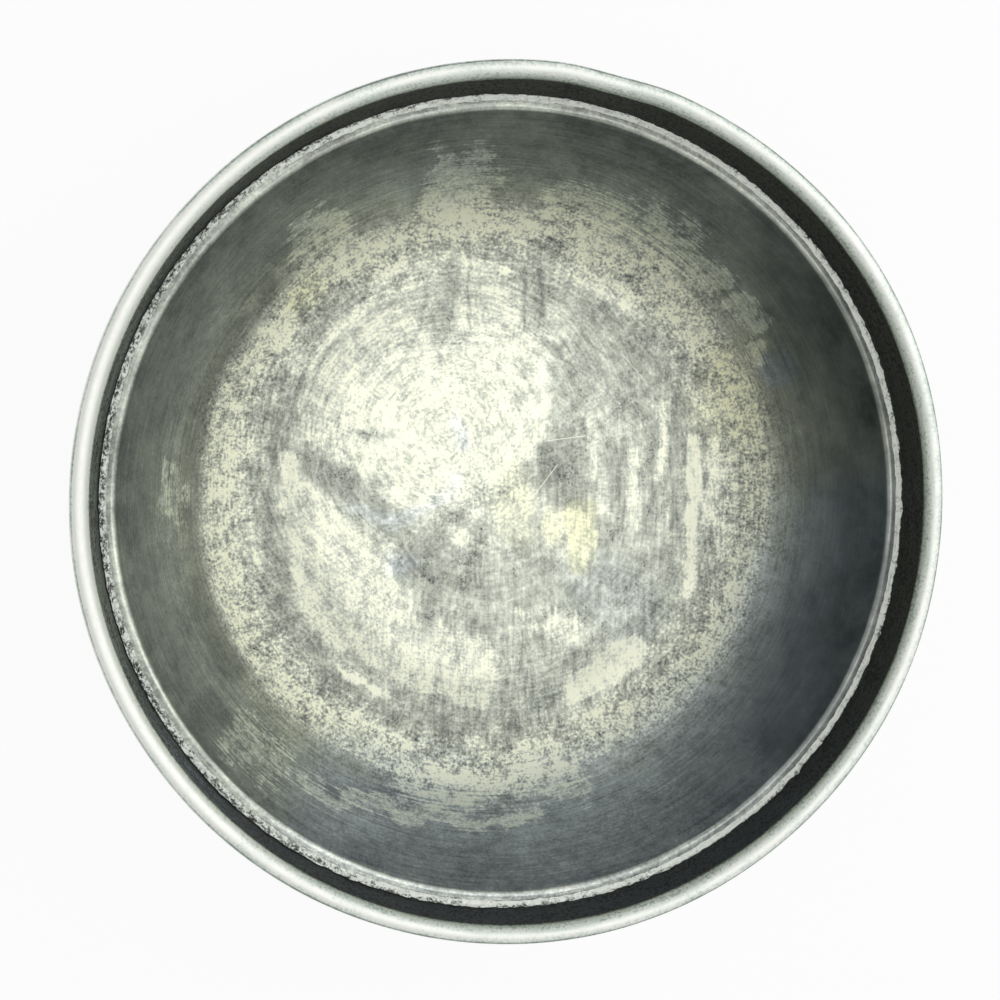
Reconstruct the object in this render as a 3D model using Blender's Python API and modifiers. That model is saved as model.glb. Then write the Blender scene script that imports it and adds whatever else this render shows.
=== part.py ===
"""Tinned copper mixing bowl with a lid seat.

A raised copper pan and a leaning copper collar are lapped and soldered together at a ledge, on which
a lid would sit. The collar's top edge is rolled outwards over an iron hoop, and the inside is wiped
with tin. Lengths are in metres. The bowl's axis is +Z, and it stands on z = 0.

Sections are drawn as paths of (radius, height) points that run outwards and upwards along the tinned
face, so the metal lies on a path's right-hand side.
"""

import math

import bpy
from mathutils import Vector

# Overall sizes
RIM_RADIUS = 0.140  # outermost, over the tinned rim
HEIGHT = 0.084  # from the standing face to the top of the rim

# Stock
SHEET = 0.0009  # copper sheet
TIN = 0.0003  # wiped tin coat
WIRE_RADIUS = 0.0009  # iron hoop in the rim
GAP = 0.0003  # between pieces that touch

# Pan
BASE_RADIUS = 0.086  # outer edge of the flat ring that the bowl stands on
KICK_RADIUS = 0.0795  # inner edge of that ring, where the floor steps up
KICK_HEIGHT = 0.0015
KICK_RAMP = 0.004  # width of the step
KNUCKLE_RADIUS = 0.030  # tinned face of the bend from floor to wall

# Lid seat
LEDGE_DEPTH = 0.019  # from the top of the rim down to the ledge
LEDGE_WIDTH = 0.004
LEDGE_EDGE_ROUNDING = 0.0017
LEDGE_FALL = 0.00005  # how far the tinned ledge falls towards the collar under the solder
COLLAR_LEAN = 0.0016  # how far the collar leans out from its foot to the rim
ROLL_TURN = math.radians(285)  # how far the collar's edge curls round the hoop
TINNED_TURN = math.radians(200)  # how far the tin follows that curl

# Seams
LAP_HEIGHT = 0.007  # lip of the pan that laps the collar outside
LIP_BEND = 0.0005  # inside of the bend from ledge to lip
LEDGE_SOLDER_WIDTH = 0.0014  # on the ledge
LEDGE_SOLDER_RISE = 0.0034  # up the collar
LAP_SOLDER_LEG = 0.0010
SOLDER_HOLLOW = 0.35  # how full the hollow face of a solder fillet is, from 0 to 0.5
BRAZE_WIDTH = 0.0012
BRAZE_AZIMUTH = math.radians(-45)

# How finely round shapes are cut
TURN_STEPS = 48
WIRE_SIDES = 8
KNUCKLE_SEGMENTS = 6
ROUNDING_SEGMENTS = 3
BEND_SEGMENTS = 2
ROLL_SEGMENTS = 11
TINNED_ROLL_SEGMENTS = 8
MERGE_DISTANCE = 0.00001

# Sizes that follow from those above
COAT = TIN + GAP
WALL = COAT + SHEET
BEAD_RADIUS = WIRE_RADIUS + GAP + WALL
LEDGE_Z = HEIGHT - LEDGE_DEPTH
FLOOR_Z = WALL + KICK_HEIGHT
COLLAR_FOOT_RADIUS = RIM_RADIUS - 2 * BEAD_RADIUS - COLLAR_LEAN
LEDGE_INNER_RADIUS = COLLAR_FOOT_RADIUS - LEDGE_WIDTH
BEAD_CENTRE = Vector((RIM_RADIUS - BEAD_RADIUS, HEIGHT - BEAD_RADIUS))
COLLAR_FOOT = Vector((COLLAR_FOOT_RADIUS, LEDGE_Z))


# Drawing sections

def arc(centre, radius, start, end, segments):
    """Points along an arc, from one angle to another."""
    angles = [start + (end - start) * i / segments for i in range(segments + 1)]
    return [centre + radius * Vector((math.cos(angle), math.sin(angle))) for angle in angles]


def touch_angle(centre, radius, point, side):
    """Angle on a circle where a straight line from an outside point touches it."""
    away = point - centre
    return math.atan2(away.y, away.x) + side * math.acos(radius / away.length)


def rounded(before, corner, after, radius, segments):
    """Arc that rounds the corner between two straight runs."""
    back = (before - corner).normalized()
    onward = (after - corner).normalized()
    half = back.angle(onward) / 2
    reach = radius / math.tan(half)
    centre = corner + (back + onward).normalized() * radius / math.sin(half)
    spoke = corner + back * reach - centre
    turn = back.angle_signed(-onward)
    start = math.atan2(spoke.y, spoke.x)
    return arc(centre, radius, start, start + math.copysign(math.pi - 2 * half, -turn), segments)


def right_of(direction):
    """Unit vector to the right of a direction."""
    return Vector((direction.y, -direction.x)).normalized()


def parallel(path, distance):
    """The path moved to its right by a distance, with mitred corners."""
    sides = [right_of(after - before) for before, after in zip(path, path[1:])]
    moved = []
    for point, before, after in zip(path, sides[:1] + sides, sides + sides[-1:]):
        mitre = (before + after).normalized()
        moved.append(point + mitre * distance / mitre.dot(before))
    return moved


def strip(path, near, far):
    """Outline of a sheet between two distances from a path. Its outer side runs downwards."""
    return parallel(path, near) + parallel(path, far)[::-1]


def collar_touch():
    """Angle on the rim's bead where the collar's straight face runs into it."""
    return touch_angle(BEAD_CENTRE, BEAD_RADIUS, COLLAR_FOOT, -1)


def collar_up():
    """Unit vector up the collar's leaning face."""
    touch = collar_touch()
    top = BEAD_CENTRE + BEAD_RADIUS * Vector((math.cos(touch), math.sin(touch)))
    return (top - COLLAR_FOOT).normalized()


def collar_point(rise, depth):
    """Point at a distance up the collar's face from its foot, and behind that face by a depth."""
    up = collar_up()
    return COLLAR_FOOT + up * rise + right_of(up) * depth


def collar_rise(height, depth):
    """Distance up the collar's face at which a point behind it is at a height above the ledge."""
    up = collar_up()
    return (height + depth * up.x) / up.y


def ledge_point(depth):
    """Point level with the ledge, and behind the collar's face by a depth."""
    return collar_point(collar_rise(0, depth), depth)


def collar_face(start_rise, turn, segments):
    """Tinned face of the collar, from a height above its foot to a turn round the rim."""
    touch = collar_touch()
    return [collar_point(start_rise, 0), *arc(BEAD_CENTRE, BEAD_RADIUS, touch, touch - turn, segments)]


def pan_face(ledge_end):
    """Tinned face of the pan, from the middle of the floor to the end of the ledge."""
    knuckle_centre = Vector((BASE_RADIUS, WALL + KNUCKLE_RADIUS))
    ledge_edge = Vector((LEDGE_INNER_RADIUS, LEDGE_Z))
    wall_foot = touch_angle(knuckle_centre, KNUCKLE_RADIUS, ledge_edge, -1)
    knuckle = arc(knuckle_centre, KNUCKLE_RADIUS, -math.pi / 2, wall_foot, KNUCKLE_SEGMENTS)
    return [
        Vector((0, FLOOR_Z)),
        Vector((KICK_RADIUS - KICK_RAMP, FLOOR_Z)),
        Vector((KICK_RADIUS, WALL)),
        *knuckle,
        *rounded(knuckle[-1], ledge_edge, ledge_end, LEDGE_EDGE_ROUNDING, ROUNDING_SEGMENTS),
        ledge_end,
    ]


def fillet(first, corner, last):
    """Outline of a solder fillet with a hollow face from its last point back to its first."""
    hollow = corner + (first - corner) * SOLDER_HOLLOW + (last - corner) * SOLDER_HOLLOW
    return [first, corner, last, hollow]


# Making objects

def finish(name, colour, metallic, roughness):
    """A plain material."""
    material = bpy.data.materials.new(name)
    material.use_nodes = True
    shader = material.node_tree.nodes["Principled BSDF"]
    shader.inputs["Base Color"].default_value = (*colour, 1)
    shader.inputs["Metallic"].default_value = metallic
    shader.inputs["Roughness"].default_value = roughness
    return material


def turned(name, outline, closed, material, collection):
    """A section turned once about the bowl's axis."""
    count = len(outline)
    edges = [(i, (i + 1) % count) for i in range(count if closed else count - 1)]
    mesh = bpy.data.meshes.new(name)
    mesh.from_pydata([(point.x, 0, point.y) for point in outline], edges, [])
    piece = bpy.data.objects.new(name, mesh)
    collection.objects.link(piece)
    piece.data.materials.append(material)
    screw = piece.modifiers.new("turn", "SCREW")
    screw.steps = TURN_STEPS
    screw.render_steps = TURN_STEPS
    screw.use_merge_vertices = True
    screw.merge_threshold = MERGE_DISTANCE
    screw.use_smooth_shade = True
    return piece


def named_primitive(name, collection):
    """Names the primitive that was just added, and moves it to a collection."""
    primitive = bpy.context.object
    primitive.name = name
    for owner in list(primitive.users_collection):
        owner.objects.unlink(primitive)
    collection.objects.link(primitive)
    return primitive


def seam_cutter(name, width, collection):
    """A radial block across the whole collar at its closing seam."""
    bpy.ops.mesh.primitive_cube_add(size=1)
    cutter = named_primitive(name, collection)
    cutter.scale = (RIM_RADIUS, width, 2 * LEDGE_DEPTH)
    middle = COLLAR_FOOT_RADIUS
    height = (LEDGE_Z + HEIGHT) / 2
    cutter.location = (middle * math.cos(BRAZE_AZIMUTH), middle * math.sin(BRAZE_AZIMUTH), height)
    cutter.rotation_euler.z = BRAZE_AZIMUTH
    cutter.hide_render = True
    cutter.display_type = "WIRE"
    return cutter


def cut(piece, cutter, operation):
    """Cuts a piece with a block, or keeps only what is inside the block."""
    boolean = piece.modifiers.new("seam", "BOOLEAN")
    boolean.operation = operation
    boolean.solver = "EXACT"
    boolean.object = cutter


# Sub-parts

def bowl_pan(parts):
    """Raised copper pan: floor, knuckle, wall, ledge and the lip that laps the collar."""
    lip_depth = SHEET + GAP
    lip_top = collar_point(LAP_HEIGHT, lip_depth)
    inside = parallel([*pan_face(ledge_point(lip_depth)), lip_top], COAT)
    bend = rounded(*inside[-3:], LIP_BEND, BEND_SEGMENTS)
    path = inside[:-2] + bend + inside[-1:]
    copper = finish("aged_copper_pan", (0.42, 0.17, 0.09), 1.0, 0.42)
    turned("bowl_pan", strip(path, 0, SHEET), False, copper, parts)


def pan_tin_lining(parts):
    """Wiped tin on the pan's inside, as far as the collar."""
    solder_edge = Vector((COLLAR_FOOT_RADIUS - GAP - LEDGE_SOLDER_WIDTH, LEDGE_Z))
    path = [*pan_face(solder_edge), COLLAR_FOOT - Vector((0, LEDGE_FALL))]
    tin = finish("wiped_tin_pan", (0.62, 0.62, 0.57), 1.0, 0.45)
    turned("pan_tin_lining", strip(path, 0, TIN), False, tin, parts)


def collar_outline():
    """Section of the collar band, from its foot on the ledge to the end of its curl."""
    return strip(collar_face(collar_rise(-TIN, WALL), ROLL_TURN, ROLL_SEGMENTS), COAT, WALL)


def collar_band(parts, cutters):
    """Copper hoop above the ledge, open at its closing seam."""
    copper = finish("aged_copper_collar", (0.45, 0.19, 0.10), 1.0, 0.40)
    band = turned("collar_band", collar_outline(), True, copper, parts)
    cut(band, seam_cutter("seam_slot", BRAZE_WIDTH + 2 * GAP, cutters), "DIFFERENCE")


def collar_seam_braze(parts, cutters):
    """Hard solder that closes the collar's seam."""
    brass = finish("seam_brass", (0.55, 0.38, 0.14), 1.0, 0.45)
    braze = turned("collar_seam_braze", collar_outline(), True, brass, parts)
    cut(braze, seam_cutter("seam_fill", BRAZE_WIDTH, cutters), "INTERSECT")


def collar_tin_lining(parts):
    """Wiped tin on the collar's inside and over the rim."""
    path = collar_face(collar_rise(GAP, TIN), TINNED_TURN, TINNED_ROLL_SEGMENTS)
    tin = finish("wiped_tin_collar", (0.66, 0.66, 0.61), 1.0, 0.38)
    turned("collar_tin_lining", strip(path, 0, TIN), True, tin, parts)


def ledge_solder(parts):
    """Solder fillet in the corner between the ledge and the collar's tinned face."""
    corner = collar_point(GAP, -GAP)
    top = collar_point(GAP + LEDGE_SOLDER_RISE, -GAP)
    foot = corner - Vector((LEDGE_SOLDER_WIDTH, 0))
    solder = finish("soft_solder_ledge", (0.50, 0.49, 0.44), 1.0, 0.55)
    turned("ledge_solder", fillet(top, corner, foot), True, solder, parts)


def lap_solder(parts):
    """Solder fillet on the lip's top edge, against the outside of the collar."""
    rise = LAP_HEIGHT + GAP
    depth = WALL + GAP
    top = collar_point(rise + LAP_SOLDER_LEG, depth)
    corner = collar_point(rise, depth)
    lip_edge = collar_point(rise, depth + SHEET)
    solder = finish("soft_solder_lap", (0.47, 0.46, 0.43), 1.0, 0.55)
    turned("lap_solder", fillet(lip_edge, corner, top), True, solder, parts)


def rim_wire(parts):
    """Iron hoop inside the rolled rim."""
    bpy.ops.mesh.primitive_torus_add(
        major_segments=TURN_STEPS,
        minor_segments=WIRE_SIDES,
        major_radius=BEAD_CENTRE.x,
        minor_radius=WIRE_RADIUS,
        location=(0, 0, BEAD_CENTRE.y),
    )
    wire = named_primitive("rim_wire", parts)
    wire.data.materials.append(finish("drawn_iron_wire", (0.16, 0.15, 0.14), 1.0, 0.6))
    wire.data.shade_smooth()


def main():
    """Clears the scene and makes the bowl."""
    for old in list(bpy.data.objects):
        bpy.data.objects.remove(old, do_unlink=True)
    parts = bpy.data.collections.new("copper_mixing_bowl")
    cutters = bpy.data.collections.new("cutters")
    for collection in (parts, cutters):
        bpy.context.scene.collection.children.link(collection)
    bowl_pan(parts)
    pan_tin_lining(parts)
    collar_band(parts, cutters)
    collar_seam_braze(parts, cutters)
    collar_tin_lining(parts)
    ledge_solder(parts)
    lap_solder(parts)
    rim_wire(parts)


main()
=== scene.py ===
"""Looks of a tin-lined copper mixing bowl with a lid seat.

The bowl is turned from sections, as its maker raised it from sheet: a planished copper pan, a collar
rolled over an iron hoop, solder in both seams, and a wiped tin lining that years of stirring have worn.
Lengths are in metres unless a name says otherwise. The bowl's axis is +Z, and it stands on z = 0.
"""

import logging
import math
from collections.abc import Callable, Sequence
from dataclasses import dataclass
from enum import Enum
from typing import Any

import bpy
import numpy as np
from mathutils import Matrix, Vector, noise


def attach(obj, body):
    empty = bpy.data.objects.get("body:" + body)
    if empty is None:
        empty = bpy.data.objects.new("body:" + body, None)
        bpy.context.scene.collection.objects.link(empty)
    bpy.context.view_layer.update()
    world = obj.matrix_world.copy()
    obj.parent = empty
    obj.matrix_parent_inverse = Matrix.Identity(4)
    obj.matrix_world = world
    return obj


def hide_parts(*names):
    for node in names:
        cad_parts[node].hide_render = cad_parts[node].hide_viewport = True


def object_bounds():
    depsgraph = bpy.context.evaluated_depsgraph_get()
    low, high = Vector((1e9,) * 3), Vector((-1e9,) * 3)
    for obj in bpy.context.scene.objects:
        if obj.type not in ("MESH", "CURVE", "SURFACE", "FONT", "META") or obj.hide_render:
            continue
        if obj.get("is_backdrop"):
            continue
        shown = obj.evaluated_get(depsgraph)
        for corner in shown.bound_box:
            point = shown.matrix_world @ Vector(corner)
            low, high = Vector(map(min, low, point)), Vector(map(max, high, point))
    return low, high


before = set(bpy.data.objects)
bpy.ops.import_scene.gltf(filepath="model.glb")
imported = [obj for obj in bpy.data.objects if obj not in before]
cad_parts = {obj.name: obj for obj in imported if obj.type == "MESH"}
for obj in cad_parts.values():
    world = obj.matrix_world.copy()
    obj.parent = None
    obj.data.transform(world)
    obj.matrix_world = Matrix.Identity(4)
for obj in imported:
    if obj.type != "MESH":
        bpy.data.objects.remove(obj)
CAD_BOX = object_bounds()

log = logging.getLogger("copper_bowl")

BODY = "root"
MM = 0.001
MERGE_DISTANCE = 1e-6
SMOOTH_ANGLE = math.radians(50)

# Least upright share of a normal that counts as facing up or down
LEAST_TILT = 0.02

# Attributes that finishes read: the place before the bowl is bent, and how far a hammer ridge stands out
TRUE_PLACE = "turned"
RIDGE = "ridge"


class CadNode(Enum):
    """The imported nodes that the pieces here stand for."""

    PAN = "bowl_pan"
    PAN_LINING = "pan_tin_lining"
    COLLAR = "collar_band"
    COLLAR_LINING = "collar_tin_lining"
    BRAZE = "collar_seam_braze"
    LEDGE_SOLDER = "ledge_solder"
    LAP_SOLDER = "lap_solder"
    WIRE = "rim_wire"


class Slot(Enum):
    """The record's material slots."""

    COPPER = "copper"
    TIN = "tin"
    SOLDER = "solder"
    IRON = "iron"
    BRAZE = "braze"


class Wear(Enum):
    """What a mark on the tin is. The value names its painted attribute. The bright and dark kinds also
    carry painted highlight and painted shade.
    """

    BURNISHED_AND_LIT = "burnished_and_lit"
    STAINED_AND_SHADED = "stained_and_shaded"
    STRAW = "straw"
    BLUED = "blued"
    FLAKED = "flaked"


# Colours and nodes


def linear(hex_colour: str) -> tuple[float, float, float, float]:
    """Turns an sRGB hex colour to linear.

    Args:
        hex_colour: Six hex digits after a #.

    Returns:
        Linear red, green and blue, and an alpha of 1.
    """
    shares = [int(hex_colour[i:i + 2], 16) / 255 for i in (1, 3, 5)]
    return (*[s / 12.92 if s <= 0.04045 else ((s + 0.055) / 1.055) ** 2.4 for s in shares], 1.0)


def per(size_mm: float) -> float:
    """Texture scale whose features are about a size in millimetres."""
    return 1 / (size_mm * MM)


def metres(span_mm: tuple[float, float]) -> tuple[float, float]:
    """Turns a span from millimetres to metres."""
    return span_mm[0] * MM, span_mm[1] * MM


class Bench:
    """A new material's node tree, and the one way that nodes are added to it.

    Attributes:
        LAYERS: How many finer layers a noise has.
        STREAK_LAYERS: How many a noise has that is drawn out to streaks.
        LAYER_SHARE: How strong each finer layer is beside the one before it.
    """

    LAYERS = 5.0
    STREAK_LAYERS = 4.0
    LAYER_SHARE = 0.66

    def __init__(self, name: str) -> None:
        """Starts an empty node material with a name."""
        self.material = bpy.data.materials.new(name)
        self.material.use_nodes = True
        self.tree = self.material.node_tree
        self.tree.nodes.clear()

    def add(self, kind: str, inputs: dict | None = None, **settings: Any) -> Any:
        """Adds a node with its settings and links.

        Args:
            kind: The node's type name, after ShaderNode.
            inputs: Socket name or number to a value, an output, or a node, whose first output in use is
                linked.
            settings: The node's properties. stops fills a colour ramp with (place, colour) pairs, where
                a colour is hex or three plain numbers.

        Returns:
            The new node.
        """
        node = self.tree.nodes.new("ShaderNode" + kind)
        stops = settings.pop("stops", ())
        for name, value in settings.items():
            setattr(node, name, value)
        for i, (place, colour) in enumerate(stops):
            elements = node.color_ramp.elements
            element = elements[i] if i < len(elements) else elements.new(place)
            element.position = place
            element.color = linear(colour) if isinstance(colour, str) else (*colour, 1.0)
        for socket, value in (inputs or {}).items():
            if isinstance(value, bpy.types.Node):
                value = next(output for output in value.outputs if output.enabled)
            if isinstance(value, bpy.types.NodeSocket):
                self.tree.links.new(value, node.inputs[socket])
            else:
                node.inputs[socket].default_value = value
        return node

    def finish(self, shader: Any) -> bpy.types.Material:
        """Links a shader to the output and returns the material."""
        self.add("OutputMaterial", {"Surface": shader})
        return self.material

    def finish_metal(self, colour: Any, metal: Any, rough: Any, height: Any, relief: float,
                     relief_mm: float) -> bpy.types.Material:
        """Ends the material as a metal with a fine relief.

        Args:
            colour: Its colour.
            metal: How metallic it is.
            rough: How rough it is.
            height: The pattern that its relief follows.
            relief: How strongly the relief shows.
            relief_mm: How high the relief is.

        Returns:
            The material.
        """
        bump = self.add("Bump", {"Height": height, "Strength": relief, "Distance": relief_mm * MM})
        return self.finish(self.add("BsdfPrincipled", {"Base Color": colour, "Metallic": metal,
                                                       "Roughness": rough, "Normal": bump}))

    def noises(self, vector: Any, sizes_mm: dict[str, float], layers: float = LAYERS) -> dict[str, Any]:
        """Adds noise patterns.

        Args:
            vector: The coordinates that they read.
            sizes_mm: Pattern name to the size of its features.
            layers: How many finer layers each has.

        Returns:
            Pattern name to its node.
        """
        shared = {"Vector": vector, "Detail": layers, "Roughness": self.LAYER_SHARE}
        return {name: self.add("TexNoise", {**shared, "Scale": per(size)})
                for name, size in sizes_mm.items()}

    def ring_noise(self, arm: Any, lane: Any, size_mm: float, turns: float) -> Any:
        """Adds a noise that is drawn out along rings.

        Args:
            arm: The way from the rings' centre, seen along their axis.
            lane: The place across the rings.
            size_mm: How wide the streaks are.
            turns: How many streak widths go into the rings' turning, where fewer make longer streaks.

        Returns:
            The noise's node.
        """
        heading = self.add("VectorMath", {0: arm}, operation="NORMALIZE")
        turned = self.add("VectorMath", {0: heading, "Scale": turns * size_mm * MM}, operation="SCALE")
        across = self.add("CombineXYZ", {"Z": lane})
        place = self.add("VectorMath", {0: turned, 1: across}, operation="ADD")
        return self.noises(place, {"streaks": size_mm}, self.STREAK_LAYERS)["streaks"]

    def blend(self, fields: dict[str, Any], shares: dict[str, float]) -> Any:
        """Adds up patterns, each by its share, about zero.

        Args:
            fields: Pattern name to its node.
            shares: Pattern name to its weight.

        Returns:
            The last node of the sum.
        """
        total: Any = -0.5 * sum(shares.values())
        for name, weight in shares.items():
            total = self.plus_share(total, fields[name], weight)
        return total

    def step(self, value: Any, start: float, end: float, low: float = 0.0, high: float = 1.0) -> Any:
        """Adds a smooth step of a value.

        Args:
            value: The value.
            start: Where the step starts.
            end: Where it ends, which may be below its start.
            low: The result at the start.
            high: The result at the end.

        Returns:
            The step's node.
        """
        return self.add("MapRange", {"Value": value, "From Min": start, "From Max": end, "To Min": low,
                                     "To Max": high}, interpolation_type="SMOOTHSTEP")

    def times(self, first: Any, second: Any) -> Any:
        """Adds the product of two values."""
        return self.add("Math", {0: first, 1: second}, operation="MULTIPLY")

    def plus_share(self, base: Any, value: Any, share: Any, clamp: bool = False) -> Any:
        """Adds a share of a value to a base.

        Args:
            base: What the share is added to.
            value: The value.
            share: How much of it is added.
            clamp: Whether the sum is kept from 0 to 1.

        Returns:
            The sum's node.
        """
        return self.add("Math", {0: value, 1: share, 2: base}, operation="MULTIPLY_ADD", use_clamp=clamp)

    def coated(self, colour: Any, coat: Any, share: Any) -> Any:
        """Lays a share of one colour over another."""
        return self.add("Mix", {"Factor": share, 6: colour, 7: coat}, data_type="RGBA")

    def from_above(self, spot: Any) -> tuple[Any, Any]:
        """Finds a place's way from the bowl's axis, seen from above, and its radius."""
        flat = self.add("VectorMath", {0: spot, 1: (1, 1, 0)}, operation="MULTIPLY")
        return flat, self.add("VectorMath", {0: flat}, operation="LENGTH")


# Sections, as (radius, height) points


def arc(centre: Vector, radius: float, start: float, end: float, segments: int) -> list[Vector]:
    """Points along an arc.

    Args:
        centre: The arc's centre.
        radius: Its radius.
        start: First angle, in radians.
        end: Last angle, in radians.
        segments: How many straight pieces it has.

    Returns:
        The points, ends included.
    """
    angles = [start + (end - start) * i / segments for i in range(segments + 1)]
    return [centre + radius * Vector((math.cos(a), math.sin(a))) for a in angles]


def touch_angle(centre: Vector, radius: float, point: Vector) -> float:
    """Angle on a circle where a line touches it from a point, with the circle on the line's right.

    Args:
        centre: The circle's centre.
        radius: Its radius.
        point: A point outside the circle.

    Returns:
        The angle, in radians.
    """
    away = point - centre
    return math.atan2(away.y, away.x) - math.acos(radius / away.length)


def right_of(direction: Vector) -> Vector:
    """Unit vector to the right of a direction."""
    return Vector((direction.y, -direction.x)).normalized()


def parallel(path: Sequence[Vector], distance: float) -> list[Vector]:
    """Moves a path to its right, with mitred corners.

    Args:
        path: The points to move.
        distance: How far.

    Returns:
        The moved points.
    """
    sides = [right_of(after - before) for before, after in zip(path, path[1:])]
    moved = []
    for point, before, after in zip(path, sides[:1] + sides, sides + sides[-1:]):
        mitre = (before + after).normalized()
        moved.append(point + mitre * distance / mitre.dot(before))
    return moved


def evenly(path: Sequence[Vector], spacing: float) -> list[Vector]:
    """Adds points to a path's long runs.

    Args:
        path: The points to keep.
        spacing: The longest run that is left.

    Returns:
        The points, with the added ones.
    """
    points = [path[0]]
    for before, after in zip(path, path[1:]):
        pieces = max(1, math.ceil((after - before).length / spacing))
        points += [before.lerp(after, i / pieces) for i in range(1, pieces + 1)]
    return points


def eased(share: float) -> float:
    """Smooth step from 0 to 1."""
    share = min(1.0, max(0.0, share))
    return share * share * (3 - 2 * share)


@dataclass(frozen=True)
class BowlSizes:
    """The bowl's driving sizes, and the sections that follow from them."""

    rim_radius: float = 0.140
    height: float = 0.084
    sheet: float = 0.0009
    tin: float = 0.0003
    wire_radius: float = 0.0009
    gap: float = 0.0003
    base_radius: float = 0.086
    kick_middle: float = 0.075
    kick_height: float = 0.0015
    kick_width: float = 0.020
    knuckle_radius: float = 0.030
    ledge_depth: float = 0.019
    ledge_width: float = 0.004
    ledge_rounding: float = 0.0017
    collar_lean: float = 0.0016
    lap_height: float = 0.007
    roll_turn: float = math.radians(285)
    tinned_turn: float = math.radians(200)

    @property
    def coat(self) -> float:
        """Depth of the copper behind the tinned face."""
        return self.tin + self.gap

    @property
    def wall(self) -> float:
        """Depth of the copper's outside behind the tinned face."""
        return self.coat + self.sheet

    @property
    def bead_radius(self) -> float:
        """Radius of the tinned rim."""
        return self.wire_radius + self.gap + self.wall

    @property
    def ledge_z(self) -> float:
        """Height of the ledge."""
        return self.height - self.ledge_depth

    @property
    def bead_centre(self) -> Vector:
        """Middle of the rim's wire."""
        return Vector((self.rim_radius - self.bead_radius, self.height - self.bead_radius))

    @property
    def collar_foot(self) -> Vector:
        """Where the collar's tinned face meets the ledge."""
        return Vector((self.rim_radius - 2 * self.bead_radius - self.collar_lean, self.ledge_z))

    @property
    def ledge_edge(self) -> Vector:
        """Corner between the wall and the ledge, before it is rounded."""
        return self.collar_foot - Vector((self.ledge_width, 0))

    @property
    def rim_touch(self) -> float:
        """Angle on the rim where the collar's face runs into it."""
        return touch_angle(self.bead_centre, self.bead_radius, self.collar_foot)

    @property
    def collar_up(self) -> Vector:
        """Unit vector up the collar's face."""
        spoke = Vector((math.cos(self.rim_touch), math.sin(self.rim_touch)))
        return (self.bead_centre + spoke * self.bead_radius - self.collar_foot).normalized()

    def collar_point(self, rise: float, depth: float) -> Vector:
        """Point up the collar from its foot by rise, and behind its face by depth."""
        return self.collar_foot + self.collar_up * rise + right_of(self.collar_up) * depth

    def collar_rise(self, height: float, depth: float) -> float:
        """Distance up the collar at which a point behind its face is at a height above the ledge."""
        return (height + depth * self.collar_up.x) / self.collar_up.y

    def collar_face(self, rise: float, turn: float, segments: int) -> list[Vector]:
        """Tinned face of the collar and rim.

        Args:
            rise: Where it starts above the foot.
            turn: How far it follows the rim round.
            segments: How many pieces the rim's arc has.

        Returns:
            The points, upwards.
        """
        touch = self.rim_touch
        roll = arc(self.bead_centre, self.bead_radius, touch, touch - turn, segments)
        return [self.collar_point(rise, 0), *roll]

    def floor_height(self, radius: float) -> float:
        """Height of the floor's tinned face, whose middle is kicked up with an eased step."""
        down = eased((radius - self.kick_middle) / self.kick_width + 0.5)
        return self.wall + self.kick_height * (1 - down)

    def pan_face(self, ledge_end: Vector, knuckle_segments: int, edge_segments: int) -> list[Vector]:
        """Tinned face of the pan, from the middle of the floor to the end of the ledge.

        Args:
            ledge_end: The last point.
            knuckle_segments: How many pieces the bend from floor to wall has.
            edge_segments: How many pieces the floor's step and the ledge's rounded edge each have.

        Returns:
            The points, outwards.
        """
        step_start = self.kick_middle - self.kick_width / 2
        step = [step_start + self.kick_width * i / edge_segments for i in range(edge_segments + 1)]
        floor = [Vector((radius, self.floor_height(radius))) for radius in (0, *step)]
        knuckle_centre = Vector((self.base_radius, self.wall + self.knuckle_radius))
        wall_foot = touch_angle(knuckle_centre, self.knuckle_radius, self.ledge_edge)
        knuckle = arc(knuckle_centre, self.knuckle_radius, -math.pi / 2, wall_foot, knuckle_segments)
        wall_up = self.ledge_edge - knuckle[-1]
        lean = math.atan2(wall_up.y, wall_up.x)
        reach = self.ledge_rounding * math.tan(lean / 2)
        edge_centre = self.ledge_edge + Vector((reach, -self.ledge_rounding))
        edge = arc(edge_centre, self.ledge_rounding, lean + math.pi / 2, math.pi / 2, edge_segments)
        return [*floor, *knuckle, *edge, ledge_end]


SIZES = BowlSizes()


# Modelling


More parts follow.
